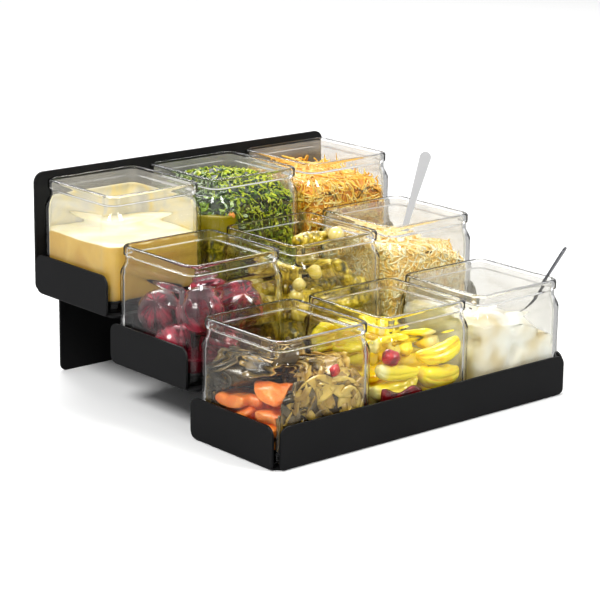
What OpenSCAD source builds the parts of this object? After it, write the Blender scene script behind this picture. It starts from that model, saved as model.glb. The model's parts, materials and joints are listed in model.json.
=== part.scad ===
// Condiment station: a stepped stand of folded black sheet with three rows of
// three square glass jars, their foods and two teaspoons.
// The frame sits at the centre of the footprint on the table, X to the right,
// Y to the back, Z up. All sizes in millimetres.

/* [Stand] */
// Clearance between a jar and the flange or riser beside it
end_gap = 0.7; // [0.5:0.1:5]
// Gap from one row of jars to the next
row_gap = 4.4; // [4:0.1:20]
// Thickness of the folded sheet
sheet = 2; // [1:0.5:3]
// Inner radius of every fold
fold_radius = 1.5; // [0.5:0.5:3]
// Height of the flanges over the underside of their tray
flange_height = 35; // [15:1:60]
// Rise of the middle tray over the front tray
middle_rise = 37; // [36:0.5:80]
// Rise of the top tray over the middle tray
top_rise = 36.5; // [36:0.5:80]
// Height of the back panel over the table
panel_height = 178; // [120:1:240]
// Corner radius of the back panel
panel_corner = 9; // [2:1:30]
// Corner radius at the upper ends of the flanges
flange_corner = 8; // [2:1:15]
// Corner radius at the lower front ends of the flanges
front_relief = 6; // [4:0.5:12]
// Corner radius at the lower rear ends of the flanges
rear_relief = 9; // [4:0.5:12]
// Corner radius of the tray floors, seen from above
floor_corner = 8; // [2:0.5:12]
// Open gap beside each front corner, where the flanges stop
corner_gap = 4.5; // [4:0.5:10]
// Distance of the risers and the leg plate from each end
leg_inset = 24; // [10:1:60]
// Radius of the lower corners of the leg plate
leg_corner = 6; // [1:1:20]
// Width of the relief slots beside the risers
relief_slot = 2; // [1:0.5:4]
// Length of floor that each folded strip shares with its tray
fold_foot = 12; // [8:1:30]

/* [Jars] */
// Width of the square body of a jar
jar_width = 101.6; // [90:0.1:102]
// Height of a jar
jar_height = 98; // [80:1:120]
// Gap from one jar to the next in a row
jar_gap = 5.4; // [1:0.1:20]
// Radius of the upright edges of the body
jar_edge = 14; // [8:1:20]
// Thickness of the glass in the body
jar_wall = 4; // [3:0.5:6]
// Thickness of the glass in the base
jar_base = 7; // [4:0.5:12]
// Radius of the lower outer edge
base_edge = 5; // [2:0.5:5]
// Radius inside, where the walls meet the base
inner_edge = 6; // [2:0.5:9]
// Hollow under the base
base_hollow = 1.2; // [0.5:0.1:2]
// Step from the body in to the neck
neck_step = 4.3; // [2:0.1:6]
// Step from the neck out to the rim bead
bead_step = 1.5; // [0.5:0.1:3]
// Height of the rim bead
bead_height = 8; // [5:0.5:12]
// Height of the plain neck under the bead
neck_height = 3.5; // [2:0.5:8]
// Height of the sloping shoulder
shoulder_height = 12; // [6:1:20]
// Thickness of the glass in the neck
neck_wall = 3; // [2:0.1:4]
// Radius of the edges of the rim
rim_edge = 1; // [0.5:0.1:2]

/* [Foods] */
// Clearance between soft foods and everything around them
clear = 0.3; // [0.2:0.05:0.5]
// Gap under the pieces that lie on the floor of a jar
floor_gap = 0.1; // [0.05:0.05:0.3]
// Gap between stacked orange slices
stack_gap = 0.2; // [0.1:0.05:0.5]
// Level of the cream sauce over the outer base of its jar
cream_level = 57; // [20:1:70]
// Highest point of the white sauce
white_level = 80; // [30:1:90]
// Radius of the domed top of the white sauce
white_dome = 150; // [100:5:300]
// Highest point of the grated cheese
cheese_level = 85; // [30:1:90]
// Radius of the domed top of the cheese
cheese_dome = 150; // [100:5:300]
// Highest point of the chopped herbs
herb_level = 90; // [30:1:92]
// Radius of the domed top of the herbs
herb_dome = 110; // [80:5:300]
// Radius of the heap of herbs in plan
herb_heap = 52; // [46:1:56]
// Level of the oil round the herbs
oil_level = 68; // [20:1:72]
// Highest point of the crisp strings
crisp_level = 84; // [30:1:90]
// Radius of the domed top of the crisp strings
crisp_dome = 170; // [100:5:300]
// Highest point of the pickled strips
strips_level = 68; // [30:1:72]
// Radius of the domed top of the pickled strips
strips_dome = 120; // [80:5:300]
// Level of the juice under the onions
juice_level = 22; // [12:1:30]
// Radius of an orange slice
slice_radius = 15.2; // [10:0.1:15.5]
// Thickness of an orange slice
slice_height = 10.5; // [6:0.5:14]
// Radius of the edge of an orange slice
slice_edge = 5; // [2:0.1:5]
// Distance of the orange slices from the glass
slice_inset = 1.1; // [1:0.1:5]
// Gap between the two stacks of orange slices
slice_gap = 1.2; // [0.5:0.1:5]
// How far the tufts stand out of the herbs
tuft_rise = 4; // [2:0.5:6]
// Radius of a crisp string
string_radius = 1.6; // [1:0.1:2.5]

/* [Spoons] */
// Length of a teaspoon
spoon_length = 135; // [110:1:160]
// Radius of the wide end of the bowl
bowl_radius = 14; // [10:0.5:18]
// Radius of the tip of the bowl
bowl_tip = 9; // [6:0.5:12]
// Distance between the two bowl circles
bowl_reach = 15; // [8:1:22]
// Depth of the hollow in the bowl
bowl_depth = 6; // [3:0.5:10]
// How far the round of the hollow runs on past the outline of the bowl
bowl_lip = 0.5; // [0.2:0.1:2]
// Overlap of the stem and the bowl
stem_root = 1.2; // [0.5:0.1:3]
// Thickness of the spoon steel
spoon_gauge = 1.4; // [1:0.1:2]
// Width of the stem beside the bowl
stem_width = 4; // [3:0.5:7]
// Width of the handle at its end
handle_width = 10; // [6:0.5:16]
// Length of the wide part of the handle
handle_reach = 45; // [30:1:60]

/* [Hidden] */
$fn = 48;
fold_outer = fold_radius + sheet;
jar_pitch = jar_width + jar_gap;
row_pitch = jar_width + row_gap;
end_space = end_gap + sheet;
tray_depth = jar_width + 2 * end_space;
stand_width = 2 * jar_pitch + tray_depth;
stand_depth = 2 * row_pitch + tray_depth;
tray_z = [0, middle_rise, middle_rise + top_rise];
core = jar_width / 2 - jar_edge;
neck_top = jar_height - bead_height;
neck_low = neck_top - neck_height;
shoulder_low = neck_low - shoulder_height;
neck_turn = jar_edge - neck_step;
bead_turn = neck_turn + bead_step;
bore_turn = neck_turn - neck_wall;
wall_turn = jar_edge - jar_wall;
food_turn = wall_turn - clear;
food_bore = bore_turn - clear;
inside = core + wall_turn;
food_half = core + food_turn;
floor_z = jar_base + floor_gap;
// Loose foods and spoons are laid out for a jar that measures 46.8 from its
// middle to the glass, and go along with the glass of another one
fit = inside / 46.8;
bowl_half = (bowl_radius + bowl_reach + bowl_tip) / 2;
bowl_hollow = (pow(bowl_half + bowl_lip, 2) + pow(bowl_depth, 2)) / (2 * bowl_depth);

// Moves its children to the seat of a jar: column and row count from 0
module seat(column, row) {
    translate([(column - 1) * jar_pitch,
               end_space + jar_width / 2 + row * row_pitch - stand_depth / 2,
               tray_z[row] + sheet])
        children();
}

// Folded sheet stand

// Where the floor of a tray starts and ends, counted from the front tray's
function tray_start(row) = row == 0 ? 0 : tray_finish(row - 1) - sheet;
function tray_finish(row) = row * row_pitch + tray_depth - (row == 2 ? sheet : 0);

// Section of a folded strip: a foot along +X and an upright at x = 0
module fold_section(foot, height) {
    difference() {
        union() {
            translate([fold_outer, 0]) square([foot - fold_outer, height]);
            translate([0, fold_outer]) square([foot, height - fold_outer]);
            translate([fold_outer, fold_outer]) circle(fold_outer);
        }
        translate([fold_outer, sheet]) square([foot, height]);
        translate([sheet, fold_outer]) square([foot, height]);
        translate([fold_outer, fold_outer]) circle(fold_radius);
    }
}

// Outline with its foot on the X axis: radii of the lower left, lower right and
// both upper corners
module upright_outline(length, height, low_left, low_right, upper) {
    translate([0, low_left]) square([length / 2, height - low_left - upper]);
    translate([length / 2, low_right]) square([length / 2, height - low_right - upper]);
    translate([low_left, 0]) square([length - low_left - low_right, height / 2]);
    translate([upper, height / 2]) square([length - 2 * upper, height / 2]);
    translate([low_left, low_left]) circle(low_left);
    translate([length - low_right, low_right]) circle(low_right);
    translate([upper, height - upper]) circle(upper);
    translate([length - upper, height - upper]) circle(upper);
}

// End flange with its fold and a strip of floor, at the left end of a tray
module end_flange(start, finish) {
    intersection() {
        translate([0, finish, 0])
            rotate([90, 0, 0]) linear_extrude(finish - start) fold_section(fold_foot, flange_height);
        translate([-1, start, 0])
            rotate([90, 0, 90])
                linear_extrude(fold_foot + 2)
                    upright_outline(finish - start, flange_height,
                                    front_relief, rear_relief, flange_corner);
    }
}

// Both end flanges of a tray
module end_flanges(start, finish) {
    end_flange(start, finish);
    translate([stand_width, 0, 0]) mirror([1, 0, 0]) end_flange(start, finish);
}

// Front flange with its fold and a strip of floor
module front_flange() {
    length = stand_width - 2 * corner_gap;
    intersection() {
        translate([corner_gap, 0, 0])
            rotate([90, 0, 90]) linear_extrude(length) fold_section(fold_foot, flange_height);
        translate([corner_gap, fold_foot + 1, 0])
            rotate([90, 0, 0])
                linear_extrude(fold_foot + 2)
                    upright_outline(length, flange_height,
                                    front_relief, front_relief, flange_corner);
    }
}

// Floor of a tray between its folds, with rounded corners
module tray_floor(start, finish) {
    width = stand_width - 2 * fold_outer;
    depth = finish - start;
    linear_extrude(sheet)
        translate([fold_outer, start]) {
            translate([floor_corner, 0]) square([width - 2 * floor_corner, depth]);
            translate([0, floor_corner]) square([width, depth - 2 * floor_corner]);
            for (x = [floor_corner, width - floor_corner], y = [floor_corner, depth - floor_corner])
                translate([x, y]) circle(floor_corner);
        }
}

// Riser folded up from the rear of a tray to the underside of the next one,
// beside two relief slots
module riser(finish, rise) {
    translate([leg_inset, finish, 0])
        rotate([90, 0, 90])
            linear_extrude(stand_width - 2 * leg_inset)
                mirror([1, 0]) fold_section(fold_foot, rise);
}

// Cuts the floor back where the riser's fold takes its place
module riser_room(finish) {
    translate([leg_inset - relief_slot, finish - fold_outer - 1, -1])
        cube([stand_width - 2 * (leg_inset - relief_slot), fold_outer + 2, sheet + 2]);
}

// Moves a stand piece from its left front corner to the frame
module stand_place(z) {
    translate([-stand_width / 2, -stand_depth / 2, z]) children();
}

// Front tray: floor, front flange, two end flanges and a riser, one sheet
module front_tray() {
    finish = tray_finish(0);
    color("#262627") stand_place(tray_z[0]) {
        difference() {
            tray_floor(fold_outer, finish - sheet);
            riser_room(finish);
        }
        end_flanges(corner_gap + 1, finish - sheet);
        front_flange();
        riser(finish, middle_rise);
    }
}

// Middle tray: floor, two end flanges and a riser, one sheet
module middle_tray() {
    start = tray_start(1);
    finish = tray_finish(1);
    color("#262627") stand_place(tray_z[1]) {
        difference() {
            tray_floor(start, finish - sheet);
            riser_room(finish);
        }
        end_flanges(start + corner_gap + 1, finish - sheet);
        riser(finish, top_rise);
    }
}

// Top tray: floor and two end flanges, one sheet
module top_tray() {
    start = tray_start(2);
    finish = tray_finish(2);
    color("#262627") stand_place(tray_z[2]) {
        tray_floor(start, finish);
        end_flanges(start + corner_gap + 1, finish);
    }
}

// Back panel: one flat sheet, full width behind the top row, and a narrower
// leg plate down to the table
module back_panel() {
    color("#242425") stand_place(0)
        translate([0, stand_depth, 0])
            rotate([90, 0, 0])
                linear_extrude(sheet) {
                    translate([0, tray_z[2]])
                        upright_outline(stand_width, panel_height - tray_z[2],
                                        rear_relief, rear_relief, panel_corner);
                    translate([leg_inset, 0])
                        upright_outline(stand_width - 2 * leg_inset, tray_z[2] + rear_relief + 1,
                                        leg_corner, leg_corner, 1);
                }
}

// Square moulded jars

// Sweeps a section, given from the upright core outwards, round the core square
module square_turn(section, low, high) {
    for (q = [0:3]) {
        rotate([0, 0, 90 * q]) {
            translate([core, core, 0]) rotate_extrude(angle = 90) polygon(section);
            translate([core, core, 0])
                rotate([90, 0, 0]) linear_extrude(2 * core) polygon(section);
        }
    }
    translate([-core, -core, low]) cube([2 * core, 2 * core, high - low]);
}

// Smooth S from 0 to 1
function ease(t) = 0.5 - 0.5 * cos(180 * t);

// Points of a quarter arc, centre c, radius r, from angle a to b
function arc(c, r, a, b, n) =
    [for (i = [0:n]) let(t = a + (b - a) * i / n) [c[0] + r * cos(t), c[1] + r * sin(t)]];

// Wall, base, shoulder, neck and rim bead of a jar as one section
function jar_section() = concat(
    [[0, base_hollow], [jar_edge - base_edge - 4, base_hollow], [jar_edge - base_edge - 2.5, 0]],
    arc([jar_edge - base_edge, base_edge], base_edge, -90, 0, 4),
    [for (i = [0:6]) [jar_edge - neck_step * ease(i / 6), shoulder_low + shoulder_height * i / 6]],
    [[neck_turn, neck_top], [bead_turn, neck_top + bead_step]],
    arc([bead_turn - 2, jar_height - 2], 2, 0, 90, 4),
    arc([bore_turn + rim_edge, jar_height - rim_edge], rim_edge, 90, 180, 3),
    [for (i = [6:-1:0]) [wall_turn - (wall_turn - bore_turn) * ease(i / 6),
                         shoulder_low + 1.5 + (shoulder_height - 1.5) * i / 6]],
    arc([wall_turn - inner_edge, jar_base + inner_edge], inner_edge, 0, -90, 5),
    [[0, jar_base]]);

module jar() {
    color("#dfe9e6") square_turn(jar_section(), base_hollow, jar_base);
}

module jar_front_left() { seat(0, 0) jar(); }
module jar_front_middle() { seat(1, 0) jar(); }
module jar_front_right() { seat(2, 0) jar(); }
module jar_middle_left() { seat(0, 1) jar(); }
module jar_middle_middle() { seat(1, 1) jar(); }
module jar_middle_right() { seat(2, 1) jar(); }
module jar_top_left() { seat(0, 2) jar(); }
module jar_top_middle() { seat(1, 2) jar(); }
module jar_top_right() { seat(2, 2) jar(); }

// Foods that take the shape of the jar

// Section of a filling up to a level, clear of the glass
function fill_section(level) = concat(
    [[0, jar_base], [wall_turn - inner_edge - 0.8, jar_base]],
    arc([wall_turn - inner_edge, jar_base + inner_edge], inner_edge - clear, -90, 0, 5),
    level > shoulder_low + 1.5 ?
        [for (i = [0:6]) let(z = shoulder_low + 1 + (shoulder_height - 1.5) * i / 6)
            if (z < level - 0.2) [food_turn - (food_turn - food_bore) * ease(i / 6), z]] : [],
    [[level > neck_low ? food_bore : level > shoulder_low + 1.5 ?
        food_turn - (food_turn - food_bore)
            * ease((level - shoulder_low - 1) / (shoulder_height - 1.5)) : food_turn, level],
     [0, level]]);

// Filling with a level top
module filling(level) {
    square_turn(fill_section(level), jar_base, level);
}

// Filling with a domed top whose summit is at x, y
module domed_filling(level, dome, x, y) {
    intersection() {
        filling(level + 0.5);
        translate([x, y, level - dome]) sphere(dome, $fn = 96);
    }
}

// Foods made of loose pieces. Each piece is [x, y, turn, length, radius]; it is
// set down until it rests on the floor of the jar or on the pieces before it.

function cross_of(a, b) = a[0] * b[1] - a[1] * b[0];
function end_a(p) = let(h = p[3] / 2 - p[4]) [p[0] - h * cos(p[2]), p[1] - h * sin(p[2])];
function end_b(p) = let(h = p[3] / 2 - p[4]) [p[0] + h * cos(p[2]), p[1] + h * sin(p[2])];
function point_line(q, a, b) =
    let(ab = b - a, l2 = ab * ab, t = l2 < 0.001 ? 0 : max(0, min(1, ((q - a) * ab) / l2)))
    norm(q - (a + t * ab));
function meet(a, b, c, d) =
    cross_of(b - a, c - a) * cross_of(b - a, d - a) < 0 &&
    cross_of(d - c, a - c) * cross_of(d - c, b - c) < 0;
function line_gap(a, b, c, d) = meet(a, b, c, d) ? 0 :
    min(point_line(a, c, d), point_line(b, c, d), point_line(c, a, b), point_line(d, a, b));
function rest_on(p, q, zq) =
    let(s = p[4] + q[4] + clear, g = line_gap(end_a(p), end_b(p), end_a(q), end_b(q)))
    g >= s ? 0 : zq + sqrt(s * s - g * g);
function fitted(list) = [for (p = list)
    [p[0] * fit, p[1] * fit, p[2], p[3] * fit, p[4] * fit, p[5]]];
function settle(list, i = 0, zs = []) = i == len(list) ? zs :
    settle(list, i + 1, concat(zs,
        [max(concat([floor_z + list[i][4]],
                    [for (j = [0:1:i - 1]) rest_on(list[i], list[j], zs[j])]))]));

// Round ended turned piece lying along X
module lying_piece(length, radius) {
    h = length / 2 - radius;
    if (h < 0.1) {
        sphere(radius);
    } else {
        rotate([0, 90, 0])
            rotate_extrude()
                polygon(concat(arc([0, -h], radius, -90, 0, 4), arc([0, h], radius, 0, 90, 4)));
    }
}

// Draws the pieces of a settled list whose kind is the wanted one
module pieces(loose, wanted) {
    list = fitted(loose);
    zs = settle(list);
    for (i = [0:len(list) - 1]) {
        if (list[i][5] == wanted) {
            translate([list[i][0], list[i][1], zs[i]])
                rotate([0, 0, list[i][2]])
                    lying_piece(list[i][3], list[i][4]);
        }
    }
}

// Red onions: four below, four in the corners on them and one between
onion_list = [
    [-29.5, -4, 0, 33.2, 16.6, 0], [-4, -29.7, 0, 33.2, 16.6, 0],
    [28.5, 1, 0, 35.6, 17.8, 0], [1, 28.5, 0, 35.6, 17.8, 0],
    [-27.8, -27.8, 0, 37, 18.5, 0], [21, -27.8, 0, 37, 18.5, 0],
    [-28.3, 25, 0, 36, 18, 0], [27, 27, 0, 37, 18.5, 0], [-1, 1, 0, 34, 17, 0]];

module red_onions() {
    color("#b5213f") seat(0, 1) pieces(onion_list, 0);
}

// Dark juice standing between the lower onions
module onion_juice() {
    list = fitted(onion_list);
    zs = settle(list);
    color("#3a0c18") seat(0, 1)
        difference() {
            filling(juice_level);
            for (i = [0:3]) {
                translate([list[i][0], list[i][1], zs[i]])
                    sphere(list[i][4] + clear);
            }
        }
}

// Yellow pepper pieces: a lane of stacked pieces along the front glass, with a
// strip of red pepper at its foot and a radish, and crossed layers behind it
pepper_list = concat(
    [[-24, -38.6, 0, 42, 6.2, 2], [-23.4, -35.2, 0, 45, 11, 0], [-24, -36.8, 2, 44, 7, 0],
     [-27, -38.6, 0, 15, 7.5, 1], [22.8, -36.4, 0, 44, 9.6, 0], [23.6, -35.6, 0, 43, 10.4, 0],
     [23, -36.4, -2, 44, 9.2, 0]],
    [for (i = [0:3]) [-35.2 + 23.4 * i, 11.8, 90, 67, 10.6, 0]],
    [for (i = [0:2], j = [0:1]) [-23.2 + 46.6 * j, -11.5 + 23.4 * i, 0, 44, 10.8 - 0.3 * j, 0]],
    [[-35.5, 1, 88, 44, 10.2, 0], [-12, 0, 92, 44, 9.6, 0], [11, 2, 86, 42, 9, 0],
     [34.6, 0, 91, 42, 9, 0], [-23, 34.5, 3, 44, 10, 0], [23, 34.5, -3, 43, 9.6, 0],
     [-33, 4, 84, 40, 6.4, 0], [-11, 4, 70, 38, 6.4, 0], [-22, -24.5, 0, 34, 5.6, 0]]);

module yellow_peppers() {
    color("#f0c21c") seat(1, 0) pieces(pepper_list, 0);
}

module radish() {
    color("#c0203a") seat(1, 0) pieces(pepper_list, 1);
}

module red_pepper() {
    color("#7d1420") seat(1, 0) pieces(pepper_list, 2);
}

// Gherkins in crossed layers with pearl onions beside them
gherkin_list = [
    [-35, -15, 90, 60, 11, 0], [-11.8, 15, 90, 60, 11, 0],
    [11.6, -15, 90, 60, 11, 0], [35, 15, 90, 60, 11, 0],
    [-35, 28, 0, 19, 9.5, 1], [-11.8, -28, 0, 19, 9.5, 1],
    [11.6, 28, 0, 19, 9.5, 1], [35, -28, 0, 19, 9.5, 1],
    [16, -35, 0, 58, 10.8, 0], [-16, -11.6, 0, 58, 10.8, 0],
    [16, 11.8, 0, 58, 11, 0], [-16, 35, 0, 58, 10.8, 0],
    [-30, -35.5, 0, 17, 8.5, 1], [31, -11.6, 0, 18, 9, 1],
    [-32, 12, 0, 18, 9, 1], [31, 35.5, 0, 17, 8.5, 1],
    [-19, 12, 90, 58, 10.5, 0], [22, 4, 78, 60, 10.5, 0], [30, -33, 10, 28, 9, 0],
    [-34, -33, 0, 13, 6.5, 1], [-16, -33, 0, 19, 9.5, 1], [2, -34, 0, 14, 7, 1],
    [0, 15, 24, 54, 9.5, 0], [32, 33, 0, 15, 7.5, 1]];

module gherkins() {
    color("#8c8a26") seat(1, 1) pieces(gherkin_list, 0);
}

module pearl_onions() {
    color("#e8dca0") seat(1, 1) pieces(gherkin_list, 1);
}

// Orange slices: two stacks against the left wall, the first in the corner
stack_x = slice_inset + slice_radius - inside;
corner_stack = [stack_x, stack_x];
middle_stack = [stack_x, stack_x + 2 * slice_radius + slice_gap];
step_z = slice_height + stack_gap;

module orange_slices() {
    color("#f07a3c") seat(0, 0) {
        for (i = [0:3]) orange_slice(corner_stack, i);
        for (i = [0:2]) orange_slice(middle_stack, i);
    }
}

module orange_slice(place, i) {
    shift = stack_gap * (i % 2);
    translate([place[0] + shift, place[1] + shift, floor_z + i * step_z])
        rotate_extrude()
            polygon(concat([[0, 0]],
                arc([slice_radius - slice_edge, slice_edge], slice_edge, -90, 0, 4),
                arc([slice_radius - slice_edge, slice_height - slice_edge], slice_edge, 0, 90, 4),
                [[0, slice_height]]));
}

// Room for a stack of orange slices, open to the left wall
module stack_room(place, count) {
    room = slice_radius + 2 * stack_gap + clear;
    translate([place[0] - 2 * room, place[1] - room, 0])
        cube([3 * room, 2 * room, floor_z + count * step_z + clear]);
}

// Pale pickled strips: one soft mass round the orange slices
module pickled_strips() {
    color("#b59a52") seat(0, 0)
        difference() {
            domed_filling(strips_level, strips_dome, -10 * fit, 0);
            stack_room(corner_stack, 4);
            translate([0, -jar_width / 3, 0]) stack_room(corner_stack, 4);
            stack_room(middle_stack, 3);
        }
}

// White sauce, highest at the left, with a cut where the spoon stands
module white_sauce() {
    color("#f4f0dc") seat(2, 0)
        difference() {
            domed_filling(white_level, white_dome, -40 * fit, -8 * fit);
            sauce_spoon_place(clear);
        }
}

// Grated cheese, heaped towards the back left
module grated_cheese() {
    color("#f2d084") seat(2, 1)
        difference() {
            domed_filling(cheese_level, cheese_dome, -28 * fit, 8 * fit);
            cheese_spoon_place(clear);
        }
}

module cream_sauce() {
    color("#e8cf8c") seat(0, 2) filling(cream_level);
}

// Height of a domed top at x, y
function dome_z(level, dome, cx, cy, x, y) =
    level - dome + sqrt(dome * dome - pow(x - cx, 2) - pow(y - cy, 2));

// Chopped herbs: a rounded heap that leans on the right and rear walls, with
// tufts standing out of it. Each tuft is [x, y, radius].
herb_place = [12 * fit, 8 * fit];
tuft_list = [
    [-26, -12, 13], [-18, 16, 12], [-2, -34, 11], [3, -6, 14], [9, 24, 12],
    [-24, 36, 10], [28, -30, 12], [31, 0, 11], [36, 30, 11], [10, 40, 8]];

module chopped_herbs() {
    color("#4c6a1c") seat(1, 2)
        intersection() {
            filling(herb_level + tuft_rise + 0.5);
            translate([herb_place[0], herb_place[1], 0])
                cylinder(h = jar_height, r = herb_heap * fit, $fn = 96);
            union() {
                translate([8 * fit, 10 * fit, herb_level - herb_dome]) sphere(herb_dome, $fn = 96);
                for (t = tuft_list * fit) {
                    translate([t[0], t[1], dome_z(herb_level, herb_dome, 8 * fit, 10 * fit, t[0], t[1])
                                           + tuft_rise - t[2]])
                        sphere(t[2]);
                }
            }
        }
}

// Olive oil beside the herbs
module herb_oil() {
    color("#8a8210") seat(1, 2)
        difference() {
            filling(oil_level);
            translate([herb_place[0], herb_place[1], 0])
                cylinder(h = jar_height, r = herb_heap * fit + clear, $fn = 96);
        }
}

// Crisp strings: a heap with curved strings lying in its top. Each string is
// [x, y, turn, lean, bend radius, arc angle].
string_list = [
    [-30, -26, 20, 4, 16, 110], [-6, -25.6, 160, -3, 20, 90], [22, -29.8, 75, 5, 14, 130],
    [30.1, -8, 200, -4, 18, 100], [-26.1, 2, 310, 5, 15, 120], [-12, -8, 250, 6, 22, 80],
    [14, -6, 15, -5, 17, 110], [-24, 24, 120, 4, 18, 100], [0, 14, 60, 7, 14, 140],
    [26, 16, 290, 5, 19, 90], [-4, 27.8, 180, -4, 16, 110], [26.5, 27, 230, 4, 13, 120],
    [-14, 8, 350, -6, 24, 80], [6, -20, 105, 5, 15, 120]];

module crisp_strings() {
    cx = -12 * fit;
    cy = 14 * fit;
    color("#e89a44") seat(2, 2) {
        domed_filling(crisp_level, crisp_dome, cx, cy);
        for (t = string_list) {
            x = t[0] * fit;
            y = t[1] * fit;
            translate([x, y, dome_z(crisp_level, crisp_dome, cx, cy, x, y)])
                rotate([-asin((y - cy) / crisp_dome), asin((x - cx) / crisp_dome), 0])
                    rotate([t[3], 0, t[2]])
                        translate([-t[4], 0, string_radius / 2])
                            rotate([0, 0, -t[5] / 2])
                                rotate_extrude(angle = t[5])
                                    translate([t[4], 0]) circle(string_radius, $fn = 24);
        }
    }
}

// Teaspoons

// Outline of the bowl, tip towards -X, wide end at the origin. Its sides run
// just inside the tangents, so that they cross both circles.
module bowl_outline(grow) {
    s = (bowl_radius - bowl_tip) / bowl_reach;
    c = sqrt(1 - s * s);
    wide = bowl_radius + grow - 0.02;
    narrow = bowl_tip + grow - 0.02;
    circle(bowl_radius + grow);
    translate([-bowl_reach, 0]) circle(bowl_tip + grow);
    polygon([[-wide * s, wide * c], [-bowl_reach - narrow * s, narrow * c],
             [-bowl_reach - narrow * s, -narrow * c], [-wide * s, -wide * c]]);
}

// Teaspoon along X: the end of the handle at the origin, the bowl towards -X,
// open upwards. A cutter is made by growing every face.
module teaspoon(grow) {
    reach = spoon_length - bowl_reach - bowl_tip;
    below = bowl_depth + spoon_gauge + 2;
    stem_start = bowl_radius - reach - stem_root;
    translate([-reach, 0, 0])
        intersection() {
            translate([0, 0, -below]) linear_extrude(below + 1) bowl_outline(grow);
            translate([bowl_radius - bowl_half, 0, bowl_hollow - bowl_depth])
                difference() {
                    sphere(bowl_hollow + spoon_gauge + grow, $fn = 96);
                    sphere(bowl_hollow - grow, $fn = 96);
                }
        }
    translate([0, 0, -spoon_gauge - grow])
        linear_extrude(spoon_gauge + 2 * grow) {
            polygon([[-handle_width / 2, handle_width / 2 + grow],
                     [-handle_reach, stem_width / 2 + 1 + grow],
                     [stem_start, stem_width / 2 + grow],
                     [stem_start, -stem_width / 2 - grow],
                     [-handle_reach, -stem_width / 2 - 1 - grow],
                     [-handle_width / 2, -handle_width / 2 - grow]]);
            translate([-handle_width / 2, 0]) circle(handle_width / 2 + grow);
        }
}

// Sets a teaspoon with its tip at one point, leaning through another
module spoon_at(tip, through, twist, grow) {
    v = through - tip;
    translate(tip + v * spoon_length / norm(v))
        rotate([0, -asin(v[2] / norm(v)), atan2(v[1], v[0])])
            rotate([twist, 0, 0])
                teaspoon(grow);
}

// The sauce spoon leans in the front right corner of its jar, past the rim
module sauce_spoon_place(grow) {
    spoon_at([-5.1 * fit, -7.4 * fit, jar_base + 2.5],
             [36 * fit, -39 * fit, jar_height], -49, grow);
}

// The cheese spoon stands in the cheese
module cheese_spoon_place(grow) {
    spoon_at([-14.1 * fit, -3.6 * fit, jar_base + 14.3],
             [13.6 * fit, 0, jar_height - 13.4], 41, grow);
}

module sauce_spoon() {
    color("#c9ccd0") seat(2, 0) sauce_spoon_place(0);
}

module cheese_spoon() {
    color("#c9ccd0") seat(2, 1) cheese_spoon_place(0);
}

front_tray();
middle_tray();
top_tray();
back_panel();
jar_front_left();
jar_front_middle();
jar_front_right();
jar_middle_left();
jar_middle_middle();
jar_middle_right();
jar_top_left();
jar_top_middle();
jar_top_right();
orange_slices();
pickled_strips();
yellow_peppers();
radish();
red_pepper();
white_sauce();
red_onions();
onion_juice();
gherkins();
pearl_onions();
grated_cheese();
cream_sauce();
chopped_herbs();
herb_oil();
crisp_strings();
sauce_spoon();
cheese_spoon();
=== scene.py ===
import bpy
import bmesh
import json
import math
import numpy as np
from mathutils import Matrix, Vector, noise

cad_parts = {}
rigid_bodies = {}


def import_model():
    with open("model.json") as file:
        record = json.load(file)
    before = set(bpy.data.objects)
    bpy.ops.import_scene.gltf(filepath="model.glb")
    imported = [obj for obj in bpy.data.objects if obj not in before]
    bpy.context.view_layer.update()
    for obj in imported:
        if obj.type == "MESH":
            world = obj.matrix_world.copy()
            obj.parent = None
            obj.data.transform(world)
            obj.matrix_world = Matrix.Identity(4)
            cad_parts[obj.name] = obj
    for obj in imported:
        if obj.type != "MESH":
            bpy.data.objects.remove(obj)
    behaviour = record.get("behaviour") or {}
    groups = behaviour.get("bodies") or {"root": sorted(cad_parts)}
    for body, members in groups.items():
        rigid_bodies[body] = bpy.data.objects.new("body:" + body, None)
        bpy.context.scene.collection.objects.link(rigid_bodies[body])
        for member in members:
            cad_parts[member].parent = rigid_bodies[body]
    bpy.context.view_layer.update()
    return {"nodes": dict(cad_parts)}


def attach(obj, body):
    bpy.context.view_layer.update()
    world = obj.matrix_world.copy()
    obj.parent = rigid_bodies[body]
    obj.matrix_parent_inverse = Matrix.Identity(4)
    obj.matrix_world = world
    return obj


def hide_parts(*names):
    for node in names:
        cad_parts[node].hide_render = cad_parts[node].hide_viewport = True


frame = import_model()
scene = bpy.context.scene


# The stand: four pieces of 2 mm steel sheet, three folded trays and a back
# panel, welded along the risers and powder coated black with a fine dry grit.

def tone(code):
    """Linear RGBA of an sRGB hex colour."""
    parts = [int(code[i:i + 2], 16) / 255 for i in (1, 3, 5)]
    return [p / 12.92 if p <= 0.04045 else ((p + 0.055) / 1.055) ** 2.4 for p in parts] + [1.0]


def put(tree, kind, inputs=None, **settings):
    """Adds one node with its settings and its input values or links."""
    node = tree.nodes.new(kind)
    for name, value in settings.items():
        setattr(node, name, value)
    for name, value in (inputs or {}).items():
        if isinstance(value, bpy.types.NodeSocket):
            tree.links.new(value, node.inputs[name])
        else:
            node.inputs[name].default_value = value
    return node


def blank(name):
    """A new material with an empty node tree."""
    material = bpy.data.materials.new(name)
    material.use_nodes = True
    material.node_tree.nodes.clear()
    return material, material.node_tree


def ramp(tree, factor, stops):
    """Colour ramp over (position, hex) stops."""
    node = put(tree, "ShaderNodeValToRGB", {"Fac": factor})
    band = node.color_ramp
    while len(band.elements) < len(stops):
        band.elements.new(0.5)
    for element, (position, code) in zip(band.elements, stops):
        element.position = position
        element.color = tone(code)
    return node.outputs["Color"]


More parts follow.
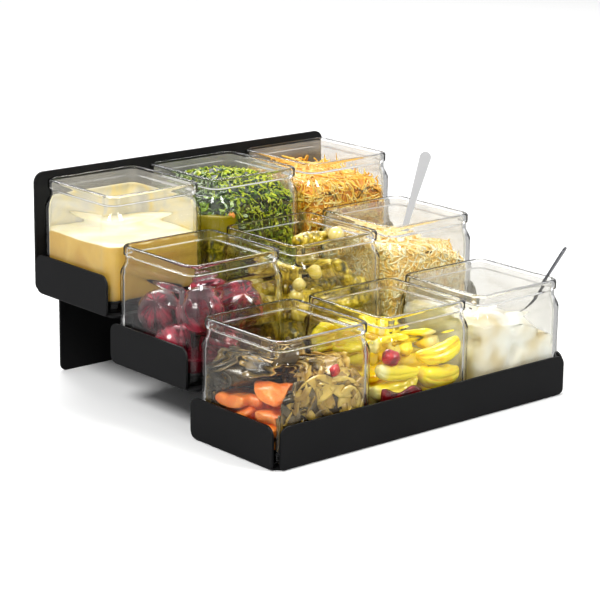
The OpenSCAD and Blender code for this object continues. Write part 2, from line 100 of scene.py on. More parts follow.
def noise_over(tree, place, scale, detail, more=None, **settings):
    """Value of a noise texture over these coordinates."""
    inputs = {"Vector": place, "Scale": scale, "Detail": detail}
    inputs.update(more or {})
    return put(tree, "ShaderNodeTexNoise", inputs, **settings).outputs["Fac"]


def rescaled(tree, value, start, end, low=0.0, high=1.0):
    """Takes a value that runs from start to end to one that runs from low to high."""
    return put(tree, "ShaderNodeMapRange", {"Value": value, "From Min": start, "From Max": end,
                                            "To Min": low, "To Max": high}).outputs["Result"]


def result_of(tree, operation, *values):
    """Result of a sum, a product or another operation."""
    return put(tree, "ShaderNodeMath", dict(enumerate(values)), operation=operation).outputs[0]


def colour_between(tree, factor, first, second):
    """A mix of two colours, all the second where the factor is 1."""
    return put(tree, "ShaderNodeMix", {"Factor": factor, "A": first, "B": second},
               data_type="RGBA").outputs[2]


def relief(tree, height, strength, depth):
    """Surface normal of a fine relief, its depth in metres."""
    return put(tree, "ShaderNodeBump", {"Height": height, "Strength": strength,
                                        "Distance": depth}).outputs["Normal"]


def inner_light(weight, reach):
    """Inputs for light that spreads inside soft food, its reach in metres."""
    return {"Subsurface Weight": weight, "Subsurface Radius": reach, "Subsurface Scale": 1.0}


def surface(tree, inputs):
    """Ends a material with one surface of these inputs."""
    body = put(tree, "ShaderNodeBsdfPrincipled", inputs)
    put(tree, "ShaderNodeOutputMaterial", {"Surface": body.outputs["BSDF"]})


def place_in(tree):
    """Coordinates of the piece itself, in metres."""
    return put(tree, "ShaderNodeTexCoord").outputs["Object"]


def shade_in(tree):
    """The number from 0 to 1 that each body or bit of a piece was given."""
    return put(tree, "ShaderNodeAttribute", attribute_name="shade").outputs["Fac"]


# Powder coat on steel: near black, dull, with a grit of about 0.4 mm that is
# drawn at 1.2 mm so that it still shows, and slightly cloudy gloss.
powder_coat, t = blank("black_powder_coat")
place = place_in(t)
grit = noise_over(t, place, 850.0, 2.0)
cloud = noise_over(t, place, 14.0, 4.0)
shade = ramp(t, cloud, [(0.3, "#161617"), (0.7, "#1c1c1d")])
dull = rescaled(t, cloud, 0.3, 0.7, 0.5, 0.6)
tooth = relief(t, grit, 0.12, 0.0002)
surface(t, {"Base Color": shade, "Roughness": dull, "Specular IOR Level": 0.3, "Normal": tooth})

for name in ("front_tray", "middle_tray", "top_tray", "back_panel"):
    sheet = frame["nodes"][name]
    sheet.data.materials.clear()
    sheet.data.materials.append(powder_coat)


# The jars: pressed clear soda lime glass, square with rounded edges, a sloping
# shoulder, a short neck and a flat bead rim, about 4 mm thick in the wall.

# Points and sizes of the pieces are in millimetres, and a turn is a rounded
# square's corner radius round the jar's core.
jar_pitch = 107.0
row_pitch = 106.0
first_row = -106.0
seat_level = (2.0, 39.0, 75.5)
jar_core = 36.8
outer_turn = 14.0
neck_turn = 9.7
bead_turn = 11.2
inside_turn = 10.0
mouth_turn = 6.7
base_top = 7.0


def seat_of(column, row):
    """Centre of a jar's foot."""
    return np.array([(column - 1) * jar_pitch, first_row + row * row_pitch, seat_level[row]])


def ease(x):
    """Soft step from 0 to 1."""
    return 0.5 - 0.5 * math.cos(math.pi * min(1.0, max(0.0, x)))


def arc(cx, cz, radius, start, end, steps):
    """Points along an arc between two angles in degrees."""
    return [(cx + radius * math.cos(math.radians(start + (end - start) * i / steps)),
             cz + radius * math.sin(math.radians(start + (end - start) * i / steps)))
            for i in range(steps + 1)]


def jar_outline():
    """Section of the glass as (turn, height), from the middle of the base, out, up
    and back in."""
    outer = [(0.0, 1.2), (3.0, 1.2), (4.6, 1.1)] + arc(6.6, 1.0, 1.0, 180, 270, 4)[1:]
    outer += arc(9.0, 5.0, 5.0, -90, 0, 10) + [(outer_turn, z) for z in (6.0, 30.0, 55.0, 72.5)]
    outer += [(outer_turn - 4.3 * ease(i / 16), 74.5 + 12.0 * i / 16) for i in range(17)]
    outer += [(neck_turn, 87.5), (neck_turn, 88.6)]
    outer += [(neck_turn + 1.5 * ease(i / 6), 88.8 + 2.2 * i / 6) for i in range(7)]
    outer += [(bead_turn, 92.0), (bead_turn, 95.0)] + arc(9.2, 96.0, 2.0, 0, 90, 8)
    inner = arc(7.9, 96.8, 1.2, 90, 180, 6) + [(mouth_turn, 94.0), (mouth_turn, 88.0)]
    inner += [(inside_turn - 3.3 * ease(i / 14), 76.0 + 10.5 * i / 14) for i in range(14, -1, -1)]
    inner += [(inside_turn, z) for z in (74.5, 55.0, 35.0, 14.0)]
    inner += arc(4.0, 13.0, 6.0, 0, -90, 10) + [(2.0, base_top), (0.0, base_top)]
    return outer + inner


def square_ring(turn, corner_steps=9):
    """Ring of points round a rounded square with corners of this turn."""
    corners = ((1, 1), (-1, 1), (-1, -1), (1, -1))
    ring = []
    for q, (sx, sy) in enumerate(corners):
        for i in range(corner_steps + 1):
            a = math.radians(90 * q + 90 * i / corner_steps)
            ring.append((sx * jar_core + turn * math.cos(a), sy * jar_core + turn * math.sin(a)))
        nx, ny = corners[(q + 1) % 4]
        for f in (0.015, 0.5, 0.985):
            ring.append((sx * jar_core * (1 - f) + nx * jar_core * f + turn * math.cos(a),
                         sy * jar_core * (1 - f) + ny * jar_core * f + turn * math.sin(a)))
    return ring


def as_piece(name, points, faces, material, nodes=(), smooth=True):
    """A mesh piece from points in millimetres, on the stand's body."""
    mesh = bpy.data.meshes.new(name)
    mesh.from_pydata((np.asarray(points, float) / 1000.0).tolist(), [], faces)
    mesh.validate()
    mesh.materials.append(material)
    mesh.polygons.foreach_set("use_smooth", [smooth] * len(mesh.polygons))
    piece = bpy.data.objects.new(name, mesh)
    scene.collection.objects.link(piece)
    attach(piece, "root")
    if nodes:
        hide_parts(*nodes)
    return piece


def sweep_faces(rings, count, closed_ends=True):
    """Faces between rings of count points that follow each other, and their ends."""
    faces = []
    for k in range(rings - 1):
        for i in range(count):
            j = (i + 1) % count
            faces.append((k * count + i, k * count + j, (k + 1) * count + j, (k + 1) * count + i))
    if closed_ends:
        faces.append(tuple(reversed(range(count))))
        faces.append(tuple((rings - 1) * count + i for i in range(count)))
    return faces


def pass_light(tree, body, tint):
    """Ends a clear material that lamp light goes straight through, with this tint."""
    clear = put(tree, "ShaderNodeBsdfTransparent", {"Color": tone(tint)})
    path = put(tree, "ShaderNodeLightPath")
    lamp = result_of(tree, "MAXIMUM", path.outputs["Is Shadow Ray"], path.outputs["Is Diffuse Ray"])
    mix = put(tree, "ShaderNodeMixShader", {0: lamp, 1: body.outputs["BSDF"], 2: clear.outputs["BSDF"]})
    put(tree, "ShaderNodeOutputMaterial", {"Surface": mix.outputs[0]})


# Soda lime glass, pressed and fire polished: clear and nearly colourless, with
# a slightly uneven inner face. Lamps pass it, as they pass real thin glass.
jar_glass, t = blank("pressed_soda_lime_glass")
waves = noise_over(t, place_in(t), 45.0, 1.0)
uneven = relief(t, waves, 0.35, 0.0006)
body = put(t, "ShaderNodeBsdfPrincipled", {"Base Color": tone("#f8f8f6"), "Roughness": 0.0, "IOR": 1.5,
                                           "Transmission Weight": 1.0, "Normal": uneven})
pass_light(t, body, "#f8f9f6")

outline = jar_outline()
jar_points = np.array([(x, y, z) for turn, z in outline for x, y in square_ring(turn)])
jar_faces = sweep_faces(len(outline), len(jar_points) // len(outline))
jar_names = [["jar_%s_%s" % (row, side) for side in ("left", "middle", "right")]
             for row in ("front", "middle", "top")]
for row in range(3):
    for column in range(3):
        name = jar_names[row][column]
        as_piece(name + "_glass", jar_points + seat_of(column, row), jar_faces, jar_glass,
                 [name])


# Thick fillings: cream sauce in the top left jar and white sauce in the front
# right one, spooned in and settled against the glass, with what they and the
# damp food leave on the glass above them.

def inner_turn(z):
    """Corner turn of the jar's inside at a height."""
    if z < 13.0:
        return 4.0 + math.sqrt(max(0.0, 36.0 - (13.0 - max(z, base_top)) ** 2))
    return inside_turn - 3.3 * ease((z - 76.0) / 10.5)


def press_in(points, gap):
    """Pushes points that would pass the glass back to this distance from it."""
    co = np.array(points, float)
    co[:, 2] = np.maximum(co[:, 2], base_top + 0.6 * gap)
    limit = np.array([inner_turn(z) for z in co[:, 2]]) - gap
    out = np.maximum(np.abs(co[:, :2]) - jar_core, 0.0)
    reach = np.hypot(out[:, 0], out[:, 1])
    over = reach > limit
    factor = np.where(over, limit / np.maximum(reach, 1e-6), 1.0)
    for axis in (0, 1):
        fix = over & (np.abs(co[:, axis]) > jar_core)
        co[fix, axis] = np.sign(co[fix, axis]) * (jar_core + out[fix, axis] * factor[fix])
    return co


def filling_mesh(top, gap=0.25, rings=26, hollow=0.0):
    """A filling up to the height top(x, y), pressed against the glass but for
    shallow hollows of this depth."""
    food_turn, food_foot, spacing = 9.7, 7.1, 4
    corner_ring = square_ring(food_turn, 8)
    wall = []
    for (x, y), (nx, ny) in zip(corner_ring, corner_ring[1:] + corner_ring[:1]):
        steps = max(1, round(math.hypot(nx - x, ny - y) / spacing))
        wall += [(x + (nx - x) * s / steps, y + (ny - y) * s / steps) for s in range(steps)]
    points = []
    for s in (0.05, 0.5, 0.85):
        points += [(x * s, y * s, food_foot) for x, y in wall]
    for f in (0.0, 0.015, 0.035, 0.06, 0.09, 0.13, 0.2, 0.3, 0.4, 0.5, 0.6, 0.7, 0.8, 0.88,
              0.94, 0.98):
        for x, y in wall:
            edge = top(x * 0.93, y * 0.93) - 0.8
            z = food_foot + (edge - food_foot) * f
            dent = hollow * max(0.0, noise.noise(Vector((x / 15, y / 15, z / 11))) - 0.08)
            points.append((x * (1.02 - dent / 46), y * (1.02 - dent / 46), z))
    for r in range(rings):
        s = 1 - r / rings
        lift = -0.8 * max(0.0, 1 - r / 1.5)
        points += [(x * s, y * s, top(x * s, y * s) + lift) for x, y in wall]
    return press_in(points, gap), sweep_faces(len(points) // len(wall), len(wall))


def soft(x, y, size, seed):
    """Smooth noise over a surface, with lumps of about this size."""
    return noise.noise(Vector((x / size + seed * 7.3, y / size - seed * 3.1, seed * 1.7)))


def dome(level, radius, cx, cy):
    """Height of a dome of this radius with its crest at (cx, cy)."""
    return lambda x, y: level - radius + math.sqrt(radius ** 2 - (x - cx) ** 2 - (y - cy) ** 2)


# Cream sauce: oil and egg thick cream, dense yellow against the glass, its upward
# faces painted paler as painted light from above, smooth with a soft gloss.
cream, t = blank("thick_cream_sauce")
swirl = noise_over(t, place_in(t), 28.0, 3.0, {"Distortion": 0.8})
face = put(t, "ShaderNodeSeparateXYZ", {"Vector": put(t, "ShaderNodeNewGeometry").outputs["Normal"]})
side = ramp(t, swirl, [(0.3, "#c89c44"), (0.7, "#dcb862")])
# Painted light: faces that point up take this paler colour, as if lit from above.
skin = ramp(t, swirl, [(0.35, "#faeab8"), (0.7, "#fff8e2")])
up = rescaled(t, face.outputs["Z"], 0.2, 0.8)
colour = colour_between(t, up, side, skin)
surface(t, {"Base Color": colour, "Roughness": 0.32, **inner_light(0.15, [0.006, 0.004, 0.002])})

co, faces = filling_mesh(lambda x, y: 56.5 + 1.1 * soft(x, y, 26, 1) + 0.5 * soft(x, y, 9, 2))
as_piece("cream_sauce_filling", co + seat_of(0, 2), faces, cream, ["cream_sauce"])


def film_mesh(low, high):
    """A film on the right and rear inner walls of a jar between two heights."""
    rows, before, after = 14, 13, 23
    points = []
    for k in range(rows + 1):
        z = low + (high - low) * k / rows
        far, near = (square_ring(inner_turn(z) - gap) for gap in (0.15, 0.4))
        far = far[-before:] + far[:after]
        near = near[-before:] + near[:after]
        points += [(x, y, z) for x, y in far + near[::-1]]
    each = 2 * (before + after)
    faces = sweep_faces(rows + 1, each, False)
    for i in range(before + after - 1):
        foot = (i + 1, i, each - 1 - i, each - 2 - i)
        faces += [foot, tuple(v + rows * each for v in reversed(foot))]
    return np.array(points), faces


# Sauce film: what the poured sauce left on the glass above its level, thin and
# cloudy white.
film, t = blank("thin_sauce_film")
run = noise_over(t, place_in(t), 30.0, 3.0, {"Distortion": 1.2})
colour = ramp(t, run, [(0.35, "#d8d4ca"), (0.5, "#e4dcc4"), (0.65, "#f2dfa6")])
body = put(t, "ShaderNodeBsdfPrincipled", {"Base Color": colour, "Roughness": 0.6, "Alpha": 0.85})
pass_light(t, body, "#fbfaf6")
co, faces = film_mesh(54.0, 84.0)
as_piece("cream_sauce_film", co + seat_of(0, 2), faces, film)

# Mist: a faint film of moisture above the food in the top row and on the right.
mist, t = blank("faint_glass_mist")
run = noise_over(t, place_in(t), 40.0, 2.0)
colour = ramp(t, run, [(0.3, "#b2afaa"), (0.7, "#c7c5c1")])
body = put(t, "ShaderNodeBsdfPrincipled", {"Base Color": colour, "Roughness": 0.8, "Alpha": 0.28})
pass_light(t, body, "#fcfcfb")
for column, row, low in ((0, 2, 84.2), (1, 2, 72.0), (2, 2, 60.0), (2, 1, 58.0), (2, 0, 44.0)):
    co, faces = film_mesh(low, 96.0)
    as_piece(jar_names[row][column] + "_mist", co + seat_of(column, row), faces, mist)

# White sauce: strained yoghurt, white and glossy, in soft mounds.
yoghurt, t = blank("strained_yoghurt")
place = place_in(t)
curd = noise_over(t, place, 260.0, 3.0)
tint = noise_over(t, place, 30.0, 2.0)
colour = ramp(t, tint, [(0.35, "#dccba4"), (0.55, "#ece7da"), (0.7, "#f4f2ec")])
grain = relief(t, curd, 0.25, 0.0004)
surface(t, {"Base Color": colour, "Roughness": 0.3, **inner_light(0.2, [0.006, 0.005, 0.004]),
            "Normal": grain})

base = dome(78.0, 150.0, -40, -8)


def mounds(x, y):
    """Soft lumps with creases between them."""
    crease = abs(soft(x, y, 26, 5)) ** 0.7
    return base(x, y) + 9.0 * crease - 3.0 + 1.2 * soft(x, y, 9, 6)


co, faces = filling_mesh(mounds, 0.25, 34, hollow=16.0)
as_piece("white_sauce_filling", co + seat_of(2, 0), faces, yoghurt, ["white_sauce"])


# Red onions: whole small bulbs with a thin shiny skin in crimson and purple,
# packed in the middle left jar over a little of their own dark juice.

def solids_of(node):
    """The separate closed solids of a CAD node, each as points in millimetres."""
    work = bmesh.new()
    work.from_mesh(frame["nodes"][node].data)
    bmesh.ops.remove_doubles(work, verts=work.verts, dist=1e-6)
    seen, found = set(), []
    for start in work.verts:
        if start in seen:
            continue
        seen.add(start)
        stack, group = [start], []
        while stack:
            v = stack.pop()
            group.append(v.co * 1000.0)
            for edge in v.link_edges:
                other = edge.other_vert(v)
                if other not in seen:
                    seen.add(other)
                    stack.append(other)
        found.append(np.array(group))
    work.free()
    found.sort(key=lambda g: tuple(np.round(g.mean(0), 1)))
    return found


def lie_of(points):
    """Middle, axis, half length and radius of a turned solid."""
    middle = (points.min(0) + points.max(0)) / 2
    rel = points - middle
    values, vectors = np.linalg.eigh(rel.T @ rel)
    axis = vectors[:, 2]
    along = rel @ axis
    radius = np.linalg.norm(rel - np.outer(along, axis), axis=1).max()
    return middle, axis, (along.max() - along.min()) / 2, radius


def turned(profile, count, shift=None):
    """Closed body turned about Z from (radius, z) points; shift(u, v, x, y, z) moves points."""
    points = []
    rows = len(profile)
    for k, (r, z) in enumerate(profile):
        for i in range(count):
            u = i / count
            a = 2 * math.pi * u
            p = (r * math.cos(a), r * math.sin(a), z)
            points.append(shift(u, k / (rows - 1), *p) if shift else p)
    return np.array(points, float), sweep_faces(rows, count)


def turn_to(points, axis, spin, middle):
    """Turns a body whose axis is Z so that it lies along another axis."""
    q = Vector((0, 0, 1)).rotation_difference(Vector(axis)).to_matrix() @ Matrix.Rotation(spin, 3, "Z")
    return points @ np.array(q).T + middle


def round_outline(radius, half, rows, power=1.0):
    """Outline of a ball or a lens, blunter at a lower power."""
    turns = [math.pi * k / (rows - 1) for k in range(rows)]
    return [(max(radius * math.sin(a) ** power, 0.02), -half * math.cos(a)) for a in turns]


def settle(points, seat, gap=0.25):
    """Presses a body that lies in the jar on this seat back inside the glass."""
    return press_in(points - seat, gap) + seat


def joined(parts):
    """One mesh from the points and faces of several bodies."""
    points, faces, start = [], [], 0
    for co, fs in parts:
        points.append(co)
        faces += [tuple(i + start for i in f) for f in fs]
        start += len(co)
    return np.concatenate(points), faces


def wrap(piece, count_per_body):
    """Gives a piece of like turned bodies a UV map: u round, v along, and a shade per body."""
    mesh = piece.data
    layer = mesh.uv_layers.new(name="wrap")
    lone = mesh.attributes.new("shade", "FLOAT", "POINT")
    rows, count = count_per_body
    each = rows * count
    vert = np.zeros(len(mesh.loops), int)
    mesh.loops.foreach_get("vertex_index", vert)
    local = vert % each
    u = (local % count) / count
    v = (local // count) / (rows - 1)
    layer.data.foreach_set("uv", np.column_stack([u, v]).ravel())
    body = np.arange(len(mesh.vertices)) // each
    lone.data.foreach_set("value", ((body * 0.618034 + 0.13) % 1.0).astype(np.float32))


dice = np.random.default_rng(11)
onions = []
onion_rows, onion_count = 34, 64
# Some bulbs lie a little off their CAD solids, as in the photograph.
onion_shift = {1: (0.0, -9.0, 0.5), 2: (5.5, 0.0, 3.5), 4: (4.0, 2.0, -2.0), 6: (-4.0, 0.0, 4.0)}
for n, points in enumerate(solids_of("red_onions")):
    middle, axis, half, radius = lie_of(points)
    middle = middle + onion_shift.get(n, (0.0, 0.0, 0.0))
    profile = []
    for k in range(onion_rows):
        a = math.pi * k / (onion_rows - 1)
        r = radius * math.sin(a) ** 0.92
        z = -radius * 0.95 * math.cos(a)
        neck = max(0.0, (k / (onion_rows - 1) - 0.88) / 0.12)
        root = max(0.0, (0.07 - k / (onion_rows - 1)) / 0.07)
        r = max(r, 1.4 * neck * (1 - neck) * 2)
        profile.append((max(r, 0.02), z + 1.6 * neck ** 2 + 1.3 * root ** 2))
    phase = dice.uniform(0, 9)

    def ribs(u, v, x, y, z):
        """Fine ribs and a slightly oval waist."""
        fine_rib = 0.006 * math.sin(2 * math.pi * u * 23 + phase)
        k = 1 + fine_rib + 0.012 * math.sin(4 * math.pi * u + phase)
        return (x * k, y * k, z)

    co, faces = turned(profile, onion_count, ribs)
    lean = Vector((dice.uniform(-1, 1), dice.uniform(-1, 1), dice.uniform(0.15, 1))).normalized()
    onions.append((turn_to(co * 0.99, lean, dice.uniform(0, 6), middle), faces))

# Onion skin: crimson with purple streaks that run from root to neck, and a
# tight wet gloss.
onion_skin, t = blank("shiny_red_onion_skin")
wrapped = put(t, "ShaderNodeUVMap", uv_map="wrap").outputs["UV"]
shade = shade_in(t)
stretch = put(t, "ShaderNodeMapping", {"Vector": wrapped, "Scale": [30.0, 2.0, 1.0]})
streaks = noise_over(t, stretch.outputs["Vector"], 1.0, 4.0, {"W": shade}, noise_dimensions="4D")
place = place_in(t)
patch = noise_over(t, place, 55.0, 2.0, {"W": shade}, noise_dimensions="4D")
blend = result_of(t, "MULTIPLY_ADD", streaks, 0.5, patch)
mean = result_of(t, "MULTIPLY", blend, 0.667)
colour = ramp(t, mean, [(0.39, "#22030c"), (0.48, "#560a20"), (0.55, "#900f2e"), (0.65, "#c4284a")])
fine = relief(t, streaks, 0.25, 0.0003)
surface(t, {"Base Color": colour, "Roughness": 0.24, "Coat Weight": 1.0, "Coat Roughness": 0.05,
            "Normal": fine})

co, faces = joined(onions)
piece = as_piece("red_onion_bulbs", co, faces, onion_skin, ["red_onions"])
wrap(piece, (onion_rows, onion_count))


def mottled(name, scale, stops, inputs):
    """A material with a mottled colour over these stops, and other surface inputs."""
    material, t = blank(name)
    mottle = noise_over(t, place_in(t), scale, 3.0)
    surface(t, {"Base Color": ramp(t, mottle, stops), **inputs})
    return material


# Onion juice: dark red, nearly black, with a wet gloss.
juice = mottled("dark_onion_juice", 40.0, [(0.35, "#34060f"), (0.7, "#6e1528")],
                {"Roughness": 0.08, "IOR": 1.35})
co, faces = filling_mesh(lambda x, y: 21.0 + 0.6 * soft(x, y, 20, 8), 0.3)
as_piece("onion_juice_pool", co + seat_of(0, 1), faces, juice, ["onion_juice"])


# Gherkins and pearl onions: whole warty gherkins, wet and olive green, laid
# crosswise in the middle jar with small pale onions between them.

def blunt(half, radius, rows, power, taper):
    """Outline of a blunt ended fruit inside a round ended rod."""
    profile = []
    for k in range(rows):
        s = k / (rows - 1)
        a = math.pi * s
        z = -half * math.cos(a)
        r = radius * max(math.sin(a), 1e-3) ** power * (1 - taper * s)
        cap = half - radius
        if abs(z) > cap:
            r = min(r, math.sqrt(max(radius ** 2 - (abs(z) - cap) ** 2, 0.0)))
        profile.append((max(r, 0.02), z))
    return profile


gherkins = []
gherkin_rows, gherkin_count = 84, 52
# One gherkin lies crosswise in the mouth and one leans by the front glass:
# a shift, the axis, half the length and the radius.
laid_gherkins = {5: ((19.0, -5.0, 2.5), (0.99, -0.1, 0.04), 18.5, 8.2),
                 10: ((-8.0, -2.0, -1.0), (-0.8, 0.05, 0.6), 21.0, 8.4)}
for n, points in enumerate(solids_of("gherkins")):
    middle, axis, half, radius = lie_of(points)
    seed = Vector((n * 13.1, n * 5.7, 2.3))
    bend = (0.45, -0.3, 0.6, 0.2)[n % 4]
    if n in laid_gherkins:
        shift, axis, half, radius = laid_gherkins[n]
        middle = middle + shift

    def warts(u, v, x, y, z):
        """Warts, a wavy side and a bend."""
        p = Vector((x, y, z))
        if math.hypot(x, y) < 0.5:
            return (x, y, z)
        near, second = noise.voronoi((p + seed) / 4.4)[0][:2]
        bump = max(0.0, second - near) ** 0.6
        wave = noise.noise((p + seed) / 13.0)
        k = 1 + (1.5 * bump + 1.6 * wave - 1.5) / radius
        return (x * k + bend * radius * ((z / half) ** 2 - 0.35), y * k, z)

    co, faces = turned(blunt(half, radius, gherkin_rows, 0.55, 0.16), gherkin_count, warts)
    gherkins.append((settle(turn_to(co, axis, n * 1.3, middle), seat_of(1, 1)), faces))

# Pickled gherkin skin: yellow olive, green in the hollows between its warts,
# with a wet coat.
gherkin_skin, t = blank("pickled_gherkin_skin")
place = place_in(t)
shade = shade_in(t)
wart = put(t, "ShaderNodeTexVoronoi", {"Vector": place, "Scale": 250.0})
mottle = noise_over(t, place, 90.0, 4.0)
mixed = result_of(t, "MULTIPLY_ADD", wart.outputs["Distance"], -0.45, mottle)
shifted = result_of(t, "MULTIPLY_ADD", shade, 0.3, mixed)
colour = ramp(t, shifted, [(0.12, "#3a360a"), (0.28, "#86761a"), (0.44, "#c2a62a"), (0.62, "#f0da5e")])
bump = relief(t, mixed, 0.6, 0.0008)
surface(t, {"Base Color": colour, "Roughness": 0.3, "Coat Weight": 0.8, "Coat Roughness": 0.1,
            **inner_light(0.1, [0.003, 0.003, 0.001]), "Normal": bump})
co, faces = joined(gherkins)
piece = as_piece("gherkin_fruits", co, faces, gherkin_skin, ["gherkins"])
wrap(piece, (gherkin_rows, gherkin_count))

# Pearl onions: pale cream, slightly see-through, with a small pointed neck.
pearl_skin, t = blank("pickled_pearl_onion")
wrapped = put(t, "ShaderNodeUVMap", uv_map="wrap").outputs["UV"]
stretch = put(t, "ShaderNodeMapping", {"Vector": wrapped, "Scale": [18.0, 1.5, 1.0]})
shade = shade_in(t)
veins = noise_over(t, stretch.outputs["Vector"], 1.0, 3.0)
shifted = result_of(t, "MULTIPLY_ADD", shade, 0.5, veins)
colour = ramp(t, shifted, [(0.3, "#f1e6bd"), (0.7, "#e6d488"), (1.0, "#d9c04e")])
surface(t, {"Base Color": colour, "Roughness": 0.25, **inner_light(0.3, [0.004, 0.003, 0.002]),
            "Coat Weight": 0.9, "Coat Roughness": 0.05})
pearls = []
pearl_rows, pearl_count = 26, 32
# Three of them lie by the front glass and on top: a shift and the radius.
laid_pearls = {4: ((-17.0, -3.0, 7.0), 5.6), 6: ((-21.0, -4.0, 12.0), 5.6),
               10: ((4.0, -36.0, 12.0), 7.0)}


def pearl_ribs(u, v, x, y, z):
    """Eight shallow ribs from root to neck."""
    k = 1 + 0.02 * math.sin(16 * math.pi * u)
    return (x * k, y * k, z)


for n, points in enumerate(solids_of("pearl_onions")):
    middle, axis, half, radius = lie_of(points)
    if n in laid_pearls:
        shift, radius = laid_pearls[n]
        middle = middle + shift
    profile = []
    for k in range(pearl_rows):
        s = k / (pearl_rows - 1)
        r = radius * math.sin(math.pi * s) ** (0.85 if s < 0.5 else 1.35)
        profile.append((max(r, 0.02), -radius * 0.97 * math.cos(math.pi * s)))
    co, faces = turned(profile, pearl_count, pearl_ribs)
    lean = Vector((dice.uniform(-1, 1), dice.uniform(-1, 1), dice.uniform(-0.4, 1))).normalized()
    pearls.append((settle(turn_to(co, lean, n * 2.1, middle), seat_of(1, 1)), faces))
co, faces = joined(pearls)
piece = as_piece("pearl_onion_bulbs", co, faces, pearl_skin, ["pearl_onions"])
wrap(piece, (pearl_rows, pearl_count))


# Yellow peppers: thick soft pieces of pickled yellow pepper, furrowed along
# their length, with one small radish and a strip of dark red pepper.

pepper_rows, pepper_count = 48, 48


def pod(half, radius, n, lobes, bend):
    """A pepper pod along Z: ridged, tapered to one end and bent, as points and faces."""
    profile = []
    for k in range(pepper_rows):
        s = k / (pepper_rows - 1)
        r = radius * 1.04 * max(math.sin(math.pi * s), 1e-3) ** 0.5 * (1.0 - 0.38 * s ** 2.2)
        profile.append((max(r, 0.02), -half * math.cos(math.pi * s)))
    seed = Vector((n * 3.7, n * 11.9, 7.1))

    def ridges(u, v, x, y, z):
        """Furrows along the pod, waves and a bend."""
        fold = abs(math.sin(math.pi * u * lobes + 0.9 * v + n))
        wave = noise.noise((Vector((x, y, z)) + seed) / 7.0)
        k = 0.76 + 0.25 * fold ** 0.55 + 0.13 * wave
        t = z / half
        return (x * k + bend * radius * (t * t - 0.35), y * k + 1.2 * wave, z)

    return turned(profile, pepper_count, ridges)


peppers = []
raised_pod = 4
for n, points in enumerate(solids_of("yellow_peppers")):
    middle, axis, half, radius = lie_of(points)
    if n == raised_pod:
        middle, radius = middle + (2.0, 2.4, 3.0), 9.4
    co, faces = pod(half, radius, n, 3 + n % 3, (0.5, -0.35, 0.2, -0.55)[n % 4])
    lean = Vector(axis) + Vector((0, 0, (0.16, -0.12, 0.05, -0.2, 0.1)[n % 5]))
    peppers.append((settle(turn_to(co, lean, n * 2.4, middle), seat_of(1, 0)), faces))

# Pickled pepper flesh: bright yellow, waxy and wet, with pale lines along the
# pod and a paler stem end on some.
pepper_flesh, t = blank("pickled_yellow_pepper")
place = place_in(t)
wrapped = put(t, "ShaderNodeUVMap", uv_map="wrap").outputs["UV"]
shade = shade_in(t)
mottle = noise_over(t, place, 75.0, 4.0)
stretch = put(t, "ShaderNodeMapping", {"Vector": wrapped, "Scale": [26.0, 2.0, 1.0]})
lines = noise_over(t, stretch.outputs["Vector"], 1.0, 2.0)
uneven = result_of(t, "ADD", mottle, lines)
shifted = result_of(t, "MULTIPLY_ADD", shade, 0.35, uneven)
flesh = ramp(t, shifted, [(0.72, "#e0a800"), (0.88, "#fbd008"), (1.02, "#ffe62c")])
along = put(t, "ShaderNodeSeparateXYZ", {"Vector": wrapped})
reach = result_of(t, "MULTIPLY", shade, 0.3)
stem = result_of(t, "SUBTRACT", reach, along.outputs["Y"])
pale = rescaled(t, stem, -0.05, 0.1)
colour = colour_between(t, pale, flesh, tone("#f4e8a8"))
bump = relief(t, uneven, 0.5, 0.0008)
surface(t, {"Base Color": colour, "Roughness": 0.24, **inner_light(0.25, [0.006, 0.004, 0.001]),
            "Coat Weight": 0.8, "Coat Roughness": 0.06, "Normal": bump})
co, faces = joined(peppers)
piece = as_piece("yellow_pepper_pieces", co, faces, pepper_flesh, ["yellow_peppers"])
wrap(piece, (pepper_rows, pepper_count))

# Radish: one small round root, wet and crimson with a paler mottle.
red_skin = mottled("wet_radish_skin", 130.0, [(0.36, "#7c0610"), (0.55, "#c4101c"), (0.72, "#f06a60")],
                   {"Roughness": 0.25, "Coat Weight": 1.0, "Coat Roughness": 0.05})
radish_radius, radish_half = 7.3, 7.1
radish_place = np.array([-31.5, -38.6, 62.2])
co, faces = turned(round_outline(radish_radius, radish_half, 28), 32, lambda u, v, x, y, z: tuple(
    Vector((x, y, z)) * (0.97 + 0.1 * noise.noise(Vector((x, y, z)) / 5.0))))
co = press_in(turn_to(co, (0.5, -0.5, 0.7), 0.4, radish_place), 0.25)
as_piece("radish_root", co + seat_of(1, 0), faces, red_skin, ["radish"])

# Red pepper: a broad dark strip that stands bent against the glass.
strip_skin = mottled("wet_red_pepper_skin", 110.0,
                     [(0.35, "#3c0408"), (0.55, "#780a12"), (0.75, "#b41c24")],
                     {"Roughness": 0.2, "Coat Weight": 0.8, "Coat Roughness": 0.08})
strip_steps, strip_round = 28, 12
points = []
for k in range(strip_steps + 1):
    s = k / strip_steps
    x, bow = -45.0 + 41.0 * s, 1.4 * math.sin(6.0 * s)
    low, high = 7.5 + 2.0 * math.sin(4 * s), 38.0 + 2.4 * math.sin(9 * s + 1) - 3.0 * s
    for i in range(strip_round):
        a = 2 * math.pi * i / strip_round
        z = (low + high) / 2 + (high - low) / 2 * math.cos(a)
        y = -44.6 + bow * 0.5 - 1.7 * math.sin(a)
        points.append((x, y, z))
co = press_in(points, 0.3)
as_piece("red_pepper_strip", co + seat_of(1, 0), sweep_faces(strip_steps + 1, strip_round),
         strip_skin, ["red_pepper"])


# Orange slices: thick moist slices stacked in two piles against the left wall
# of the front left jar, soft at their edges.

slices = []
